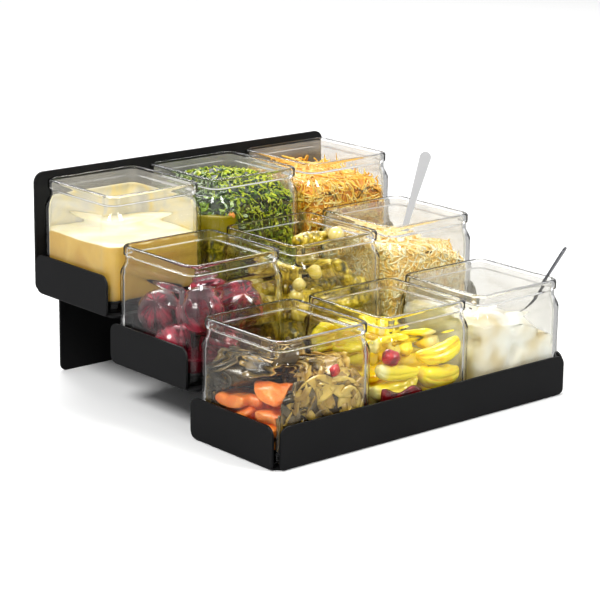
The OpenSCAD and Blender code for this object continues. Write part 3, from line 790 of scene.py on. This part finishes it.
# Slices that lie off their CAD solids: a shift and what is added to the radius.
laid_slices = {2: ((0, 9.0, 0), 1.5), 3: ((0, 9.0, 3.5), 2.5), 5: ((2.0, 3.0, 7.0), 2.5),
               6: ((0, 9.0, 0), 1.5)}
for n, points in enumerate(solids_of("orange_slices")):
    low, high = points.min(0), points.max(0)
    middle = (low + high) / 2
    radius, half = (high[0] - low[0]) / 2 + 1.5, (high[2] - low[2]) / 2 + 1.2
    if n in laid_slices:
        shift, wider = laid_slices[n]
        middle, radius = middle + shift, radius + wider
    seed = Vector((n * 9.1, 4.0, n * 2.2))

    def buckle(u, v, x, y, z):
        """An uneven rim, a fold across and a rough face."""
        a = 2 * math.pi * u
        r = math.hypot(x, y)
        k = 1 + 0.34 * noise.noise(Vector((math.cos(a), math.sin(a), n * 3.0)) * 1.9)
        fold = 5.0 * (r / radius) ** 1.5 * math.sin(2 * a + n * 1.9)
        rough = 1.5 * noise.noise((Vector((x, y, z)) + seed) / 8.5)
        return (x * k, y * k * 1.25, z + fold + rough)

    co, faces = turned(round_outline(radius, half, 28, 0.62), 64, buckle)
    lean = Vector(((0.22, -0.18, 0.1)[n % 3], (-0.2, 0.12, 0.24, -0.1)[n % 4], 1.0)).normalized()
    local = turn_to(co, lean, 0.0, middle) - seat_of(0, 0)
    local[:, 1] = np.maximum(local[:, 1], -46.5 + 0.42 * (local[:, 0] + 46.8))
    local[:, 1] = np.where(local[:, 2] < 36.0, np.maximum(local[:, 1], -39.0), local[:, 1])
    local = press_in(local, 0.3)
    slices.append((local + seat_of(0, 0), faces))

# Moist orange flesh: salmon orange with pale lines.
orange_flesh, t = blank("moist_orange_flesh")
place = place_in(t)
lines = put(t, "ShaderNodeTexWave", {"Vector": place, "Scale": 55.0, "Distortion": 9.0,
                                     "Detail": 3.0, "Detail Scale": 1.6})
mottle = noise_over(t, place, 60.0, 3.0)
flesh = ramp(t, mottle, [(0.3, "#e6661a"), (0.7, "#ff9e44")])
veins = ramp(t, lines.outputs["Fac"], [(0.72, "#000000"), (0.95, "#808080")])
colour = colour_between(t, veins, flesh, tone("#ffb878"))
bump = relief(t, lines.outputs["Fac"], 0.3, 0.0006)
surface(t, {"Base Color": colour, "Roughness": 0.38, **inner_light(0.2, [0.005, 0.002, 0.001]),
            "Coat Weight": 0.3, "Coat Roughness": 0.2, "Normal": bump})
co, faces = joined(slices)
as_piece("orange_slice_piles", co, faces, orange_flesh, ["orange_slices"])


# Pickled strips, grated cheese, crisp strings and chopped herbs: each is a soft
# heap with its own small bits lying all over it and pressed against the glass.

def bits_tree():
    """Lays bits from a collection all over a surface, each turned and leaned at random."""
    tree = bpy.data.node_groups.new("bits_on_a_heap", "GeometryNodeTree")
    face = tree.interface
    for name, kind in (("Heap", "Geometry"), ("Bits", "Collection"), ("Bits per m2", "Float"),
                       ("Seed", "Int"), ("Smallest", "Float"), ("Largest", "Float"),
                       ("Lean", "Float"), ("Sink", "Float"), ("Finish", "Material")):
        face.new_socket(name=name, in_out="INPUT", socket_type="NodeSocket" + kind)
    face.new_socket(name="Bits", in_out="OUTPUT", socket_type="NodeSocketGeometry")
    given = put(tree, "NodeGroupInput")
    spots = put(tree, "GeometryNodeDistributePointsOnFaces", {
        "Mesh": given.outputs["Heap"], "Density": given.outputs["Bits per m2"],
        "Seed": given.outputs["Seed"]})
    least = result_of(tree, "MULTIPLY", given.outputs["Lean"], -1.0)
    low = put(tree, "ShaderNodeCombineXYZ", {"X": least, "Y": least, "Z": -3.1416})
    high = put(tree, "ShaderNodeCombineXYZ", {"X": given.outputs["Lean"],
                                              "Y": given.outputs["Lean"], "Z": 3.1416})
    angles = put(tree, "FunctionNodeRandomValue", {0: low.outputs[0], 1: high.outputs[0],
                                                   "Seed": given.outputs["Seed"]},
                 data_type="FLOAT_VECTOR")
    turn = put(tree, "FunctionNodeEulerToRotation", {0: angles.outputs[0]})
    stand = put(tree, "FunctionNodeRotateRotation", {0: spots.outputs["Rotation"],
                                                     1: turn.outputs[0]}, rotation_space="LOCAL")
    size = put(tree, "FunctionNodeRandomValue", {2: given.outputs["Smallest"],
                                                 3: given.outputs["Largest"],
                                                 "Seed": given.outputs["Seed"]}, data_type="FLOAT")
    kinds = put(tree, "GeometryNodeCollectionInfo", {"Collection": given.outputs[1],
                                                     "Separate Children": True,
                                                     "Reset Children": True})
    laid = put(tree, "GeometryNodeInstanceOnPoints", {
        "Points": spots.outputs["Points"], "Instance": kinds.outputs[0], "Pick Instance": True,
        "Rotation": stand.outputs[0], "Scale": size.outputs[1]})
    down = result_of(tree, "MULTIPLY", given.outputs["Sink"], -1.0)
    depth = put(tree, "ShaderNodeCombineXYZ", {"Z": down})
    sunk = put(tree, "GeometryNodeTranslateInstances", {"Instances": laid.outputs[0],
                                                        "Translation": depth.outputs[0]})
    lot = put(tree, "FunctionNodeRandomValue", {"Seed": 5}, data_type="FLOAT")
    marked = put(tree, "GeometryNodeStoreNamedAttribute", {
        "Geometry": sunk.outputs[0], "Name": "shade", "Value": lot.outputs[1]},
        data_type="FLOAT", domain="INSTANCE")
    real = put(tree, "GeometryNodeRealizeInstances", {"Geometry": marked.outputs[0]})
    coated = put(tree, "GeometryNodeSetMaterial", {"Geometry": real.outputs[0],
                                                   "Material": given.outputs["Finish"]})
    put(tree, "NodeGroupOutput", {0: coated.outputs[0]})
    return tree


heap_bits = bits_tree()


def bent_strip(length, width, thick, bend, twist, steps=8):
    """A strip of rectangular section along an arc that bends and twists."""
    points = []
    for k in range(steps + 1):
        s = k / steps - 0.5
        a = bend * s
        if abs(bend) > 1e-3:
            x, y = length / bend * math.sin(a), length / bend * (1 - math.cos(a))
        else:
            x, y = length * s, 0.0
        narrow = 1 - 0.25 * (2 * abs(s)) ** 3
        w = width / 2 * narrow
        h = thick / 2 * narrow
        c, d = math.cos(twist * s), math.sin(twist * s)
        for p, q in ((-w, -h), (w, -h), (w, h), (-w, h)):
            across, rise = p * c - q * d, p * d + q * c
            points.append((x - across * math.sin(a), y + across * math.cos(a), rise))
    return np.array(points), sweep_faces(steps + 1, 4)


def leaf_bit(length, width, curl, seed, steps=3, thick=0.35, rough=0.3):
    """A torn flake, cupped and crumpled."""
    points, faces = [], []
    for k in range(steps + 1):
        for i in range(steps + 1):
            s, c = k / steps - 0.5, i / steps - 0.5
            w = width * math.sqrt(max(0.08, 1 - (2 * s) ** 2))
            p = Vector((s * 3 + seed, c * 3, seed * 2.0))
            z = curl * (4 * s * s + 3 * c * c) + 1.7 * rough * noise.noise(p)
            points.append((length * s, w * c + rough * noise.noise(p * 2), z))
    for k in range(steps):
        for i in range(steps):
            a = k * (steps + 1) + i
            faces.append((a, a + 1, a + steps + 2, a + steps + 1))
    under = [(x, y, z - thick) for x, y, z in points]
    n = len(points)
    faces = [tuple(i + n for i in reversed(f)) for f in faces] + faces
    rim = list(range(steps + 1)) + [k * (steps + 1) + steps for k in range(1, steps + 1)] \
        + [steps * (steps + 1) + i for i in range(steps - 1, -1, -1)] \
        + [k * (steps + 1) for k in range(steps - 1, 0, -1)]
    for a, b in zip(rim, rim[1:] + rim[:1]):
        faces.append((a, a + n, b + n, b))
    return np.array(points + under), faces


def bit_store(name, shapes):
    """Keeps small shapes as objects in a collection of their own, for the heaps."""
    store = bpy.data.collections.new(name)
    scene.collection.children.link(store)
    for n, (points, faces) in enumerate(shapes):
        mesh = bpy.data.meshes.new("%s_%d" % (name, n))
        mesh.from_pydata((points / 1000.0).tolist(), [], faces)
        mesh.polygons.foreach_set("use_smooth", [True] * len(mesh.polygons))
        store.objects.link(bpy.data.objects.new(mesh.name, mesh))
    return store


def heap_with_bits(name, seat, top, core_gap, store, finish, core_finish, nodes,
                   per_m2, seed, small, large, lean, sink, gap=0.25, clear=None):
    """The heap's core and the bits over it, both kept inside the glass and pushed
    back out of the room that clear(points) marks."""
    co, faces = filling_mesh(top, core_gap)
    co[:, 2] += 0.4
    if clear:
        co = clear(co)
    core = as_piece(name + "_core", co + seat, faces, core_finish, nodes)
    carrier = bpy.data.objects.new(name + "_carrier", core.data.copy())
    scene.collection.objects.link(carrier)
    modifier = carrier.modifiers.new("bits", "NODES")
    modifier.node_group = heap_bits
    keys = {item.name: item.identifier for item in heap_bits.interface.items_tree
            if item.in_out == "INPUT"}
    values = {"Bits": store, "Bits per m2": float(per_m2), "Seed": seed, "Smallest": small,
              "Largest": large, "Lean": lean, "Sink": sink / 1000.0, "Finish": finish}
    for key, value in values.items():
        modifier[keys[key]] = value
    carrier.update_tag()
    graph = bpy.context.evaluated_depsgraph_get()
    mesh = bpy.data.meshes.new_from_object(carrier.evaluated_get(graph), depsgraph=graph)
    bpy.data.objects.remove(carrier)
    flat = np.zeros(len(mesh.vertices) * 3)
    mesh.vertices.foreach_get("co", flat)
    local = flat.reshape(-1, 3) * 1000.0 - seat
    local = press_in(clear(local) if clear else local, gap)
    mesh.vertices.foreach_set("co", ((local + seat) / 1000.0).ravel())
    mesh.update()
    bits = bpy.data.objects.new(name + "_bits", mesh)
    scene.collection.objects.link(bits)
    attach(bits, "root")
    return core, bits


def food_finish(name, stops, size, rough=0.45, coat=0.2, soft_light=0.0, drift=None):
    """Food surface: a colour per bit, mottled at this size in millimetres, that may
    be painted paler on one side and darker on the other, as painted light and
    shade, along (direction, from, to, least shift, most shift)."""
    material, t = blank(name)
    place = place_in(t)
    shade = shade_in(t)
    mottle = noise_over(t, place, 1000.0 / size, 3.0)
    mixed = result_of(t, "MULTIPLY_ADD", shade, 0.6, mottle)
    blend = result_of(t, "SUBTRACT", mixed, 0.3)
    # Painted light and shade: one side of the food is drawn paler and the other darker.
    if drift:
        along = put(t, "ShaderNodeVectorMath", {0: place, 1: drift[0]}, operation="DOT_PRODUCT")
        shift = rescaled(t, along.outputs["Value"], drift[1], drift[2], drift[3], drift[4])
        blend = result_of(t, "ADD", blend, shift)
    colour = ramp(t, blend, stops)
    bump = relief(t, mottle, 0.3, 0.0004)
    surface(t, {"Base Color": colour, "Roughness": rough, "Coat Weight": coat, "Coat Roughness": 0.2,
                **inner_light(soft_light, [0.004, 0.003, 0.002]), "Normal": bump})
    return material


# Grated cheese: dry curled shreds, cream to pale orange.
shreds = bit_store("cheese_shreds", [
    bent_strip(11, 1.5, 1.0, 0.8, 0.6, 5), bent_strip(15, 1.4, 1.0, 1.3, 1.0, 6),
    bent_strip(9, 1.7, 1.1, 0.4, 0.4, 4), bent_strip(13, 1.3, 0.9, 1.8, 1.2, 6),
    bent_strip(7, 1.6, 1.1, 0.2, 0.3, 3)])
cheese_shred = food_finish("grated_cheese_shreds", [(0.1, "#f2c268"), (0.35, "#fade96"),
                                                    (0.6, "#fff0c4"), (0.9, "#fffbe8")], 9.0)
cheese_core = food_finish("grated_cheese_heart", [(0.3, "#f4cc7c"), (0.8, "#ffe6ac")], 6.0)
base = dome(83.0, 150.0, -28, 8)
heap_with_bits("grated_cheese", seat_of(2, 1),
               lambda x, y: base(x, y) + 2.2 * soft(x, y, 14, 3), 2.4, shreds, cheese_shred,
               cheese_core, ["grated_cheese"], per_m2=80000,
               seed=3, small=0.7, large=1.1, lean=0.14, sink=-0.5)

# Crisp strings: thin fried strings, golden with paler crests.
strings = bit_store("fried_strings", [
    bent_strip(30, 1.3, 1.2, 1.2, 3.0, 9), bent_strip(36, 1.2, 1.1, 2.0, 2.0, 10),
    bent_strip(24, 1.4, 1.2, 2.6, 4.0, 8), bent_strip(18, 1.3, 1.1, 0.7, 1.5, 6),
    bent_strip(26, 1.2, 1.1, 0.3, 1.0, 6)])
fried = food_finish("fried_potato_strings", [(0.05, "#d89018"), (0.3, "#ffc038"), (0.55, "#ffdc68"),
                                             (0.85, "#ffedac")], 7.0, rough=0.42, coat=0.3)
fried_core = food_finish("fried_potato_heart", [(0.3, "#d48c24"), (0.8, "#fcbc50")], 5.0)
base = dome(82.0, 170.0, -12, 14)
heap_with_bits("crisp_strings", seat_of(2, 2),
               lambda x, y: base(x, y) + 2.5 * soft(x, y, 12, 4), 2.2, strings, fried,
               fried_core, ["crisp_strings"], per_m2=46000, seed=8,
               small=0.6, large=1.05, lean=0.1, sink=-0.6)

# Chopped herbs: torn leaves and fine sprigs, dark on the left and bright
# yellow green on the right, in a moist column.
leaves = bit_store("torn_leaves", [
    leaf_bit(4.5, 3, 0.6, 1), leaf_bit(3.2, 2.5, 0.4, 2), leaf_bit(5.5, 2.2, 0.9, 3),
    bent_strip(8, 0.8, 0.7, 1.4, 1.0, 4), bent_strip(11, 0.8, 0.7, 0.7, 0.4, 4),
    bent_strip(5, 1.0, 0.8, 0.2, 0.2, 3), bent_strip(7, 0.9, 0.7, 2.2, 0.6, 4)])
leaf, t = blank("chopped_green_leaves")
place = place_in(t)
shade = shade_in(t)
mottle = noise_over(t, place, 38.0, 3.0)
aside = put(t, "ShaderNodeSeparateXYZ", {"Vector": place})
ripe = rescaled(t, aside.outputs["X"], -0.045, 0.045, -0.32, 0.16)
mixed = result_of(t, "MULTIPLY_ADD", shade, 0.75, mottle)
shifted = result_of(t, "ADD", mixed, ripe)
green = ramp(t, shifted, [(0.25, "#0e1c0c"), (0.5, "#2b4a10"), (0.75, "#769a14"), (0.98, "#d2da34")])
# Painted highlight: some bits on the left are drawn pale bluish grey, as if catching the light.
silver = rescaled(t, shade, 0.84, 0.9)
dusty = rescaled(t, ripe, -0.04, -0.14, 0.0, 0.75)
frosted = result_of(t, "MULTIPLY", silver, dusty)
colour = colour_between(t, frosted, green, tone("#bcd2c4"))
surface(t, {"Base Color": colour, "Roughness": 0.34, "Coat Weight": 0.7, "Coat Roughness": 0.12})
leaf_core = food_finish("chopped_leaf_heart", [(0.3, "#1a2606"), (0.8, "#46560c")], 5.0)
base = dome(89.0, 110.0, 8, 10)


def oil_corner(co):
    """Keeps the herbs out of the oil in the front left corner."""
    co = np.array(co, float)
    ragged = np.array([4.0 * noise.noise(Vector(p) / 5.0) for p in co])
    inside = (co[:, 0] + co[:, 1] + ragged < -71.0) & (co[:, 2] + ragged < 64.0)
    co[inside, :2] *= 0.78
    return co


heap_with_bits("chopped_herbs", seat_of(1, 2),
               lambda x, y: base(x, y) + 3.5 * soft(x, y, 12, 9), 2.4, leaves, leaf,
               leaf_core, ["chopped_herbs"], per_m2=110000, seed=4, small=0.7,
               large=1.2, lean=0.5, sink=-0.4, clear=oil_corner)

# A small dice of orange pepper by the front glass.
co, faces = turned(round_outline(3.6, 3.2, 16), 20, lambda u, v, x, y, z: tuple(
    Vector((x, y, z)) * (1 + 0.25 * noise.noise(Vector((x, y, z)) / 2.5))))
co = press_in(co + (-27.0, -43.5, 65.5), 0.3)
as_piece("orange_pepper_dice", co + seat_of(1, 2), faces, orange_flesh)

# Herb oil: olive yellow oil round the herbs, cloudy with specks of leaf lower down.
oil, t = blank("olive_herb_oil")
place = place_in(t)
specks = noise_over(t, place, 330.0, 2.0)
depth = put(t, "ShaderNodeSeparateXYZ", {"Vector": place})
deep = rescaled(t, depth.outputs["Z"], 0.128, 0.118)
murky = ramp(t, specks, [(0.38, "#30380a"), (0.52, "#77760e"), (0.66, "#b7ac2c")])
colour = colour_between(t, deep, tone("#938604"), murky)
surface(t, {"Base Color": colour, "Roughness": 0.06, "IOR": 1.47,
            **inner_light(0.3, [0.006, 0.005, 0.001])})
co, faces = filling_mesh(lambda x, y: 66.0 + 0.8 * soft(x, y, 18, 21), 0.3)
behind = np.clip((co[:, 0] + co[:, 1] + 73.0) / 8.0, 0.0, 1.0)
co[:, :2] *= (1.0 - 0.07 * behind)[:, None]
as_piece("herb_oil_fill", co + seat_of(1, 2), faces, oil, ["herb_oil"])

# Pickled strips: wet translucent petals and ribbons of cabbage, tan to olive,
# and one small square of red pepper.
ribbons = bit_store("pickle_ribbons", [
    leaf_bit(32, 19, 1.6, 5, 7, 1.3, 0.8), leaf_bit(26, 14, 1.3, 6, 7, 1.2, 0.6),
    leaf_bit(40, 16, 1.9, 7, 8, 1.3, 0.8), leaf_bit(22, 18, 1.1, 8, 7, 1.2, 0.6),
    bent_strip(38, 7.0, 1.3, 1.4, 0.3, 10)])
# The strips on the front wall are painted paler and those on the left wall darker: painted light and
# painted shade.
ribbon = food_finish("pickled_cabbage_strips", [(0.02, "#3c3426"), (0.26, "#6e5c38"),
                                                (0.56, "#b08c3c"), (0.95, "#ecca6c")], 22.0,
                     rough=0.16, coat=1.0, soft_light=0.25,
                     drift=((0.71, -0.71, 0.0), -0.03, 0.05, -0.3, 0.2))
ribbon_core = food_finish("pickled_cabbage_heart", [(0.3, "#46340e"), (0.8, "#8a6e2c")], 7.0,
                          rough=0.2, coat=0.8)
base = dome(67.0, 120.0, -10, 0)
square_place = np.array([10.0, -44.9, 66.0])


def slice_room(co):
    """Keeps the strips behind the orange slices and the red pepper square."""
    co = np.array(co, float)
    inside = (co[:, 0] < -12.0) & (co[:, 1] < 28.0) & (co[:, 2] < 54.0 - 0.5 * np.maximum(co[:, 1], -20)) \
        & (co[:, 1] > -46.5 + 0.3 * (co[:, 0] + 46.8)) & ((co[:, 1] > -40.0) | (co[:, 2] > 37.0))
    co[inside, 0] = -12.0 + 0.05 * co[inside, 0]
    square = (np.abs(co[:, 0] - square_place[0]) < 7.0) & (np.abs(co[:, 2] - square_place[2]) < 7.0) \
        & (co[:, 1] < -42.0)
    co[square, 1] = -42.0
    return co


heap_with_bits("pickled_strips", seat_of(0, 0),
               lambda x, y: base(x, y) + 2.0 * soft(x, y, 14, 12), 2.6, ribbons, ribbon,
               ribbon_core, ["pickled_strips"], per_m2=6500, seed=6, small=0.8,
               large=1.3, lean=0.1, sink=-0.3, clear=slice_room)
co, faces = bent_strip(9.5, 8.5, 1.8, 0.3, 0.2, 4)
co = press_in(turn_to(co, (0.1, -1.0, 0.15), 0.4, square_place), 0.3)
as_piece("red_pepper_square", co + seat_of(0, 0), faces, red_skin)

for store in (shreds, strings, leaves, ribbons):
    for thing in list(store.objects):
        bpy.data.objects.remove(thing)
    bpy.data.collections.remove(store)


# Two teaspoons: polished stainless steel, standing in the white sauce and in
# the cheese.

def steel(name, code, least, most):
    """Stainless steel with a fine grain, its roughness between two values."""
    material, t = blank(name)
    grain = noise_over(t, place_in(t), 600.0, 2.0)
    dull = rescaled(t, grain, 0.0, 1.0, least, most)
    surface(t, {"Base Color": tone(code), "Metallic": 1.0, "Roughness": dull})
    return material


# The cheese spoon: steel painted brighter than the sauce spoon's, a painted light, its polish softened by
# use.
spoon_steel = steel("polished_stainless_steel", "#e2e2e1", 0.32, 0.42)
spoon = frame["nodes"]["cheese_spoon"]
spoon.data.materials.clear()
spoon.data.materials.append(spoon_steel)

# The sauce spoon leans in the front right corner and shows its thin edge to the front:
# the same forging, rolled on its own long axis, in steel painted darker as painted shade.
worn_steel = steel("dull_stainless_steel", "#85868a", 0.2, 0.3)
work = bmesh.new()
work.from_mesh(frame["nodes"]["sauce_spoon"].data)
bmesh.ops.remove_doubles(work, verts=work.verts, dist=1e-6)
co = np.array([list(v.co) for v in work.verts]) * 1000.0
faces = [tuple(v.index for v in f.verts) for f in work.faces]
work.free()
middle = co.mean(0)
reach = np.linalg.svd(co - middle, full_matrices=False)[2][0]
reach = reach * np.sign(reach[2])
along = (co - middle) @ reach
handle_reach = 45.0
handle = co[along > along.max() - handle_reach]
blade = np.linalg.svd(handle - handle.mean(0), full_matrices=False)[2]
stem, flat = handle.mean(0), blade[2]
sight = np.array([0.633, 0.729, -0.262])
edge_on = np.cross(blade[0], sight)
edge_on /= np.linalg.norm(edge_on)
roll = math.atan2(np.dot(np.cross(flat, edge_on), blade[0]), np.dot(flat, edge_on))
roll = (roll + math.pi / 2) % math.pi - math.pi / 2
share_of_roll = 0.62
spin = np.array(Matrix.Rotation(share_of_roll * roll, 3, Vector(blade[0])))
as_piece("sauce_spoon_rolled", (co - stem) @ spin.T + stem, faces, worn_steel,
         ["sauce_spoon"], smooth=False)


# Table top, light and camera: a plain pale studio sweep with soft light from
# above and the left, and the camera at the photograph's angle.

# Matt white table, painted grey where it is seen in mirror images: a painted
# reflection that keeps the white table from veiling the glass.
pale, t = blank("pale_table")
body = put(t, "ShaderNodeBsdfPrincipled", {"Base Color": tone("#f4f4f3"), "Roughness": 0.7,
                                           "Specular IOR Level": 0.2})
# Painted reflection: the grey colour the table takes in mirror images.
card = put(t, "ShaderNodeBsdfPrincipled", {"Base Color": tone("#9c9c9c"), "Roughness": 0.7,
                                           "Specular IOR Level": 0.2})
mirrored = result_of(t, "MINIMUM", put(t, "ShaderNodeLightPath").outputs["Glossy Depth"], 1.0)
mix = put(t, "ShaderNodeMixShader", {0: mirrored, 1: body.outputs["BSDF"], 2: card.outputs["BSDF"]})
put(t, "ShaderNodeOutputMaterial", {"Surface": mix.outputs[0]})
mesh = bpy.data.meshes.new("table_top")
mesh.from_pydata([(-14, -14, 0), (14, -14, 0), (14, 14, 0), (-14, 14, 0)], [], [(0, 1, 2, 3)])
mesh.materials.append(pale)
floor = bpy.data.objects.new("table_top", mesh)
scene.collection.objects.link(floor)

# Studio walls: white behind the stand and overhead, dark on the camera's side,
# so that the clear glass is edged with dark lines and isn't veiled.
sky = bpy.data.worlds.new("studio")
scene.world = sky
sky.use_nodes = True
t = sky.node_tree
t.nodes.clear()
toward = put(t, "ShaderNodeTexCoord").outputs["Generated"]
behind = put(t, "ShaderNodeVectorMath", {0: toward, 1: (0.62, 0.72, 0.32)}, operation="DOT_PRODUCT")
half = rescaled(t, behind.outputs["Value"], -1.0, 1.0)
walls = ramp(t, half, [(0.1, "#d0d0d2"), (0.36, "#909092"), (0.5, "#4a4a4c"), (0.7, "#f6f6f7")])
glow = put(t, "ShaderNodeBackground", {"Color": walls, "Strength": 0.9})
put(t, "ShaderNodeOutputWorld", {"Surface": glow.outputs["Background"]})


def soft_box(name, place, aim, size, power):
    """A soft square lamp at a place, turned to an aim, in metres and watts."""
    lamp = bpy.data.lights.new(name, "AREA")
    lamp.shape = "RECTANGLE"
    lamp.size, lamp.size_y = size
    lamp.energy = power
    thing = bpy.data.objects.new(name, lamp)
    thing.location = place
    thing.rotation_euler = (Vector(aim) - Vector(place)).to_track_quat("-Z", "Y").to_euler()
    scene.collection.objects.link(thing)


soft_box("key_light", (-1.7, -0.5, 2.0), (0, 0, 0.05), (0.9, 0.9), 46)
soft_box("fill_light", (0.9, -1.9, 1.7), (0, 0, 0.05), (0.8, 0.6), 26)
soft_box("rear_light", (0.9, 1.7, 1.9), (0, 0, 0.1), (1.6, 0.8), 26)

yaw, pitch, roll = math.radians(40.981), math.radians(15.217), math.radians(0.82)
ahead = Vector((math.sin(yaw) * math.cos(pitch), math.cos(yaw) * math.cos(pitch), -math.sin(pitch)))
right = Vector((math.cos(yaw), -math.sin(yaw), 0))
above = right.cross(ahead)
across = right * math.cos(roll) + above * math.sin(roll)
upward = above * math.cos(roll) - right * math.sin(roll)
lens = bpy.data.cameras.new("camera")
lens.sensor_width = 36
focal_pixels, picture_pixels = 2178.3, 600
lens.lens = focal_pixels / picture_pixels * 36
lens.clip_start, lens.clip_end = 0.05, 60
camera = bpy.data.objects.new("camera", lens)
frame_of = Matrix((across, upward, -ahead)).transposed().to_4x4()
frame_of.translation = Vector((-1.1641, -1.3392, 0.5574))
camera.matrix_world = frame_of
scene.collection.objects.link(camera)
scene.camera = camera
scene.view_settings.view_transform = "Standard"
scene.view_settings.look = "Medium High Contrast"
scene.cycles.max_bounces = 24
scene.cycles.transmission_bounces = 24
scene.cycles.transparent_max_bounces = 32
scene.cycles.caustics_reflective = False
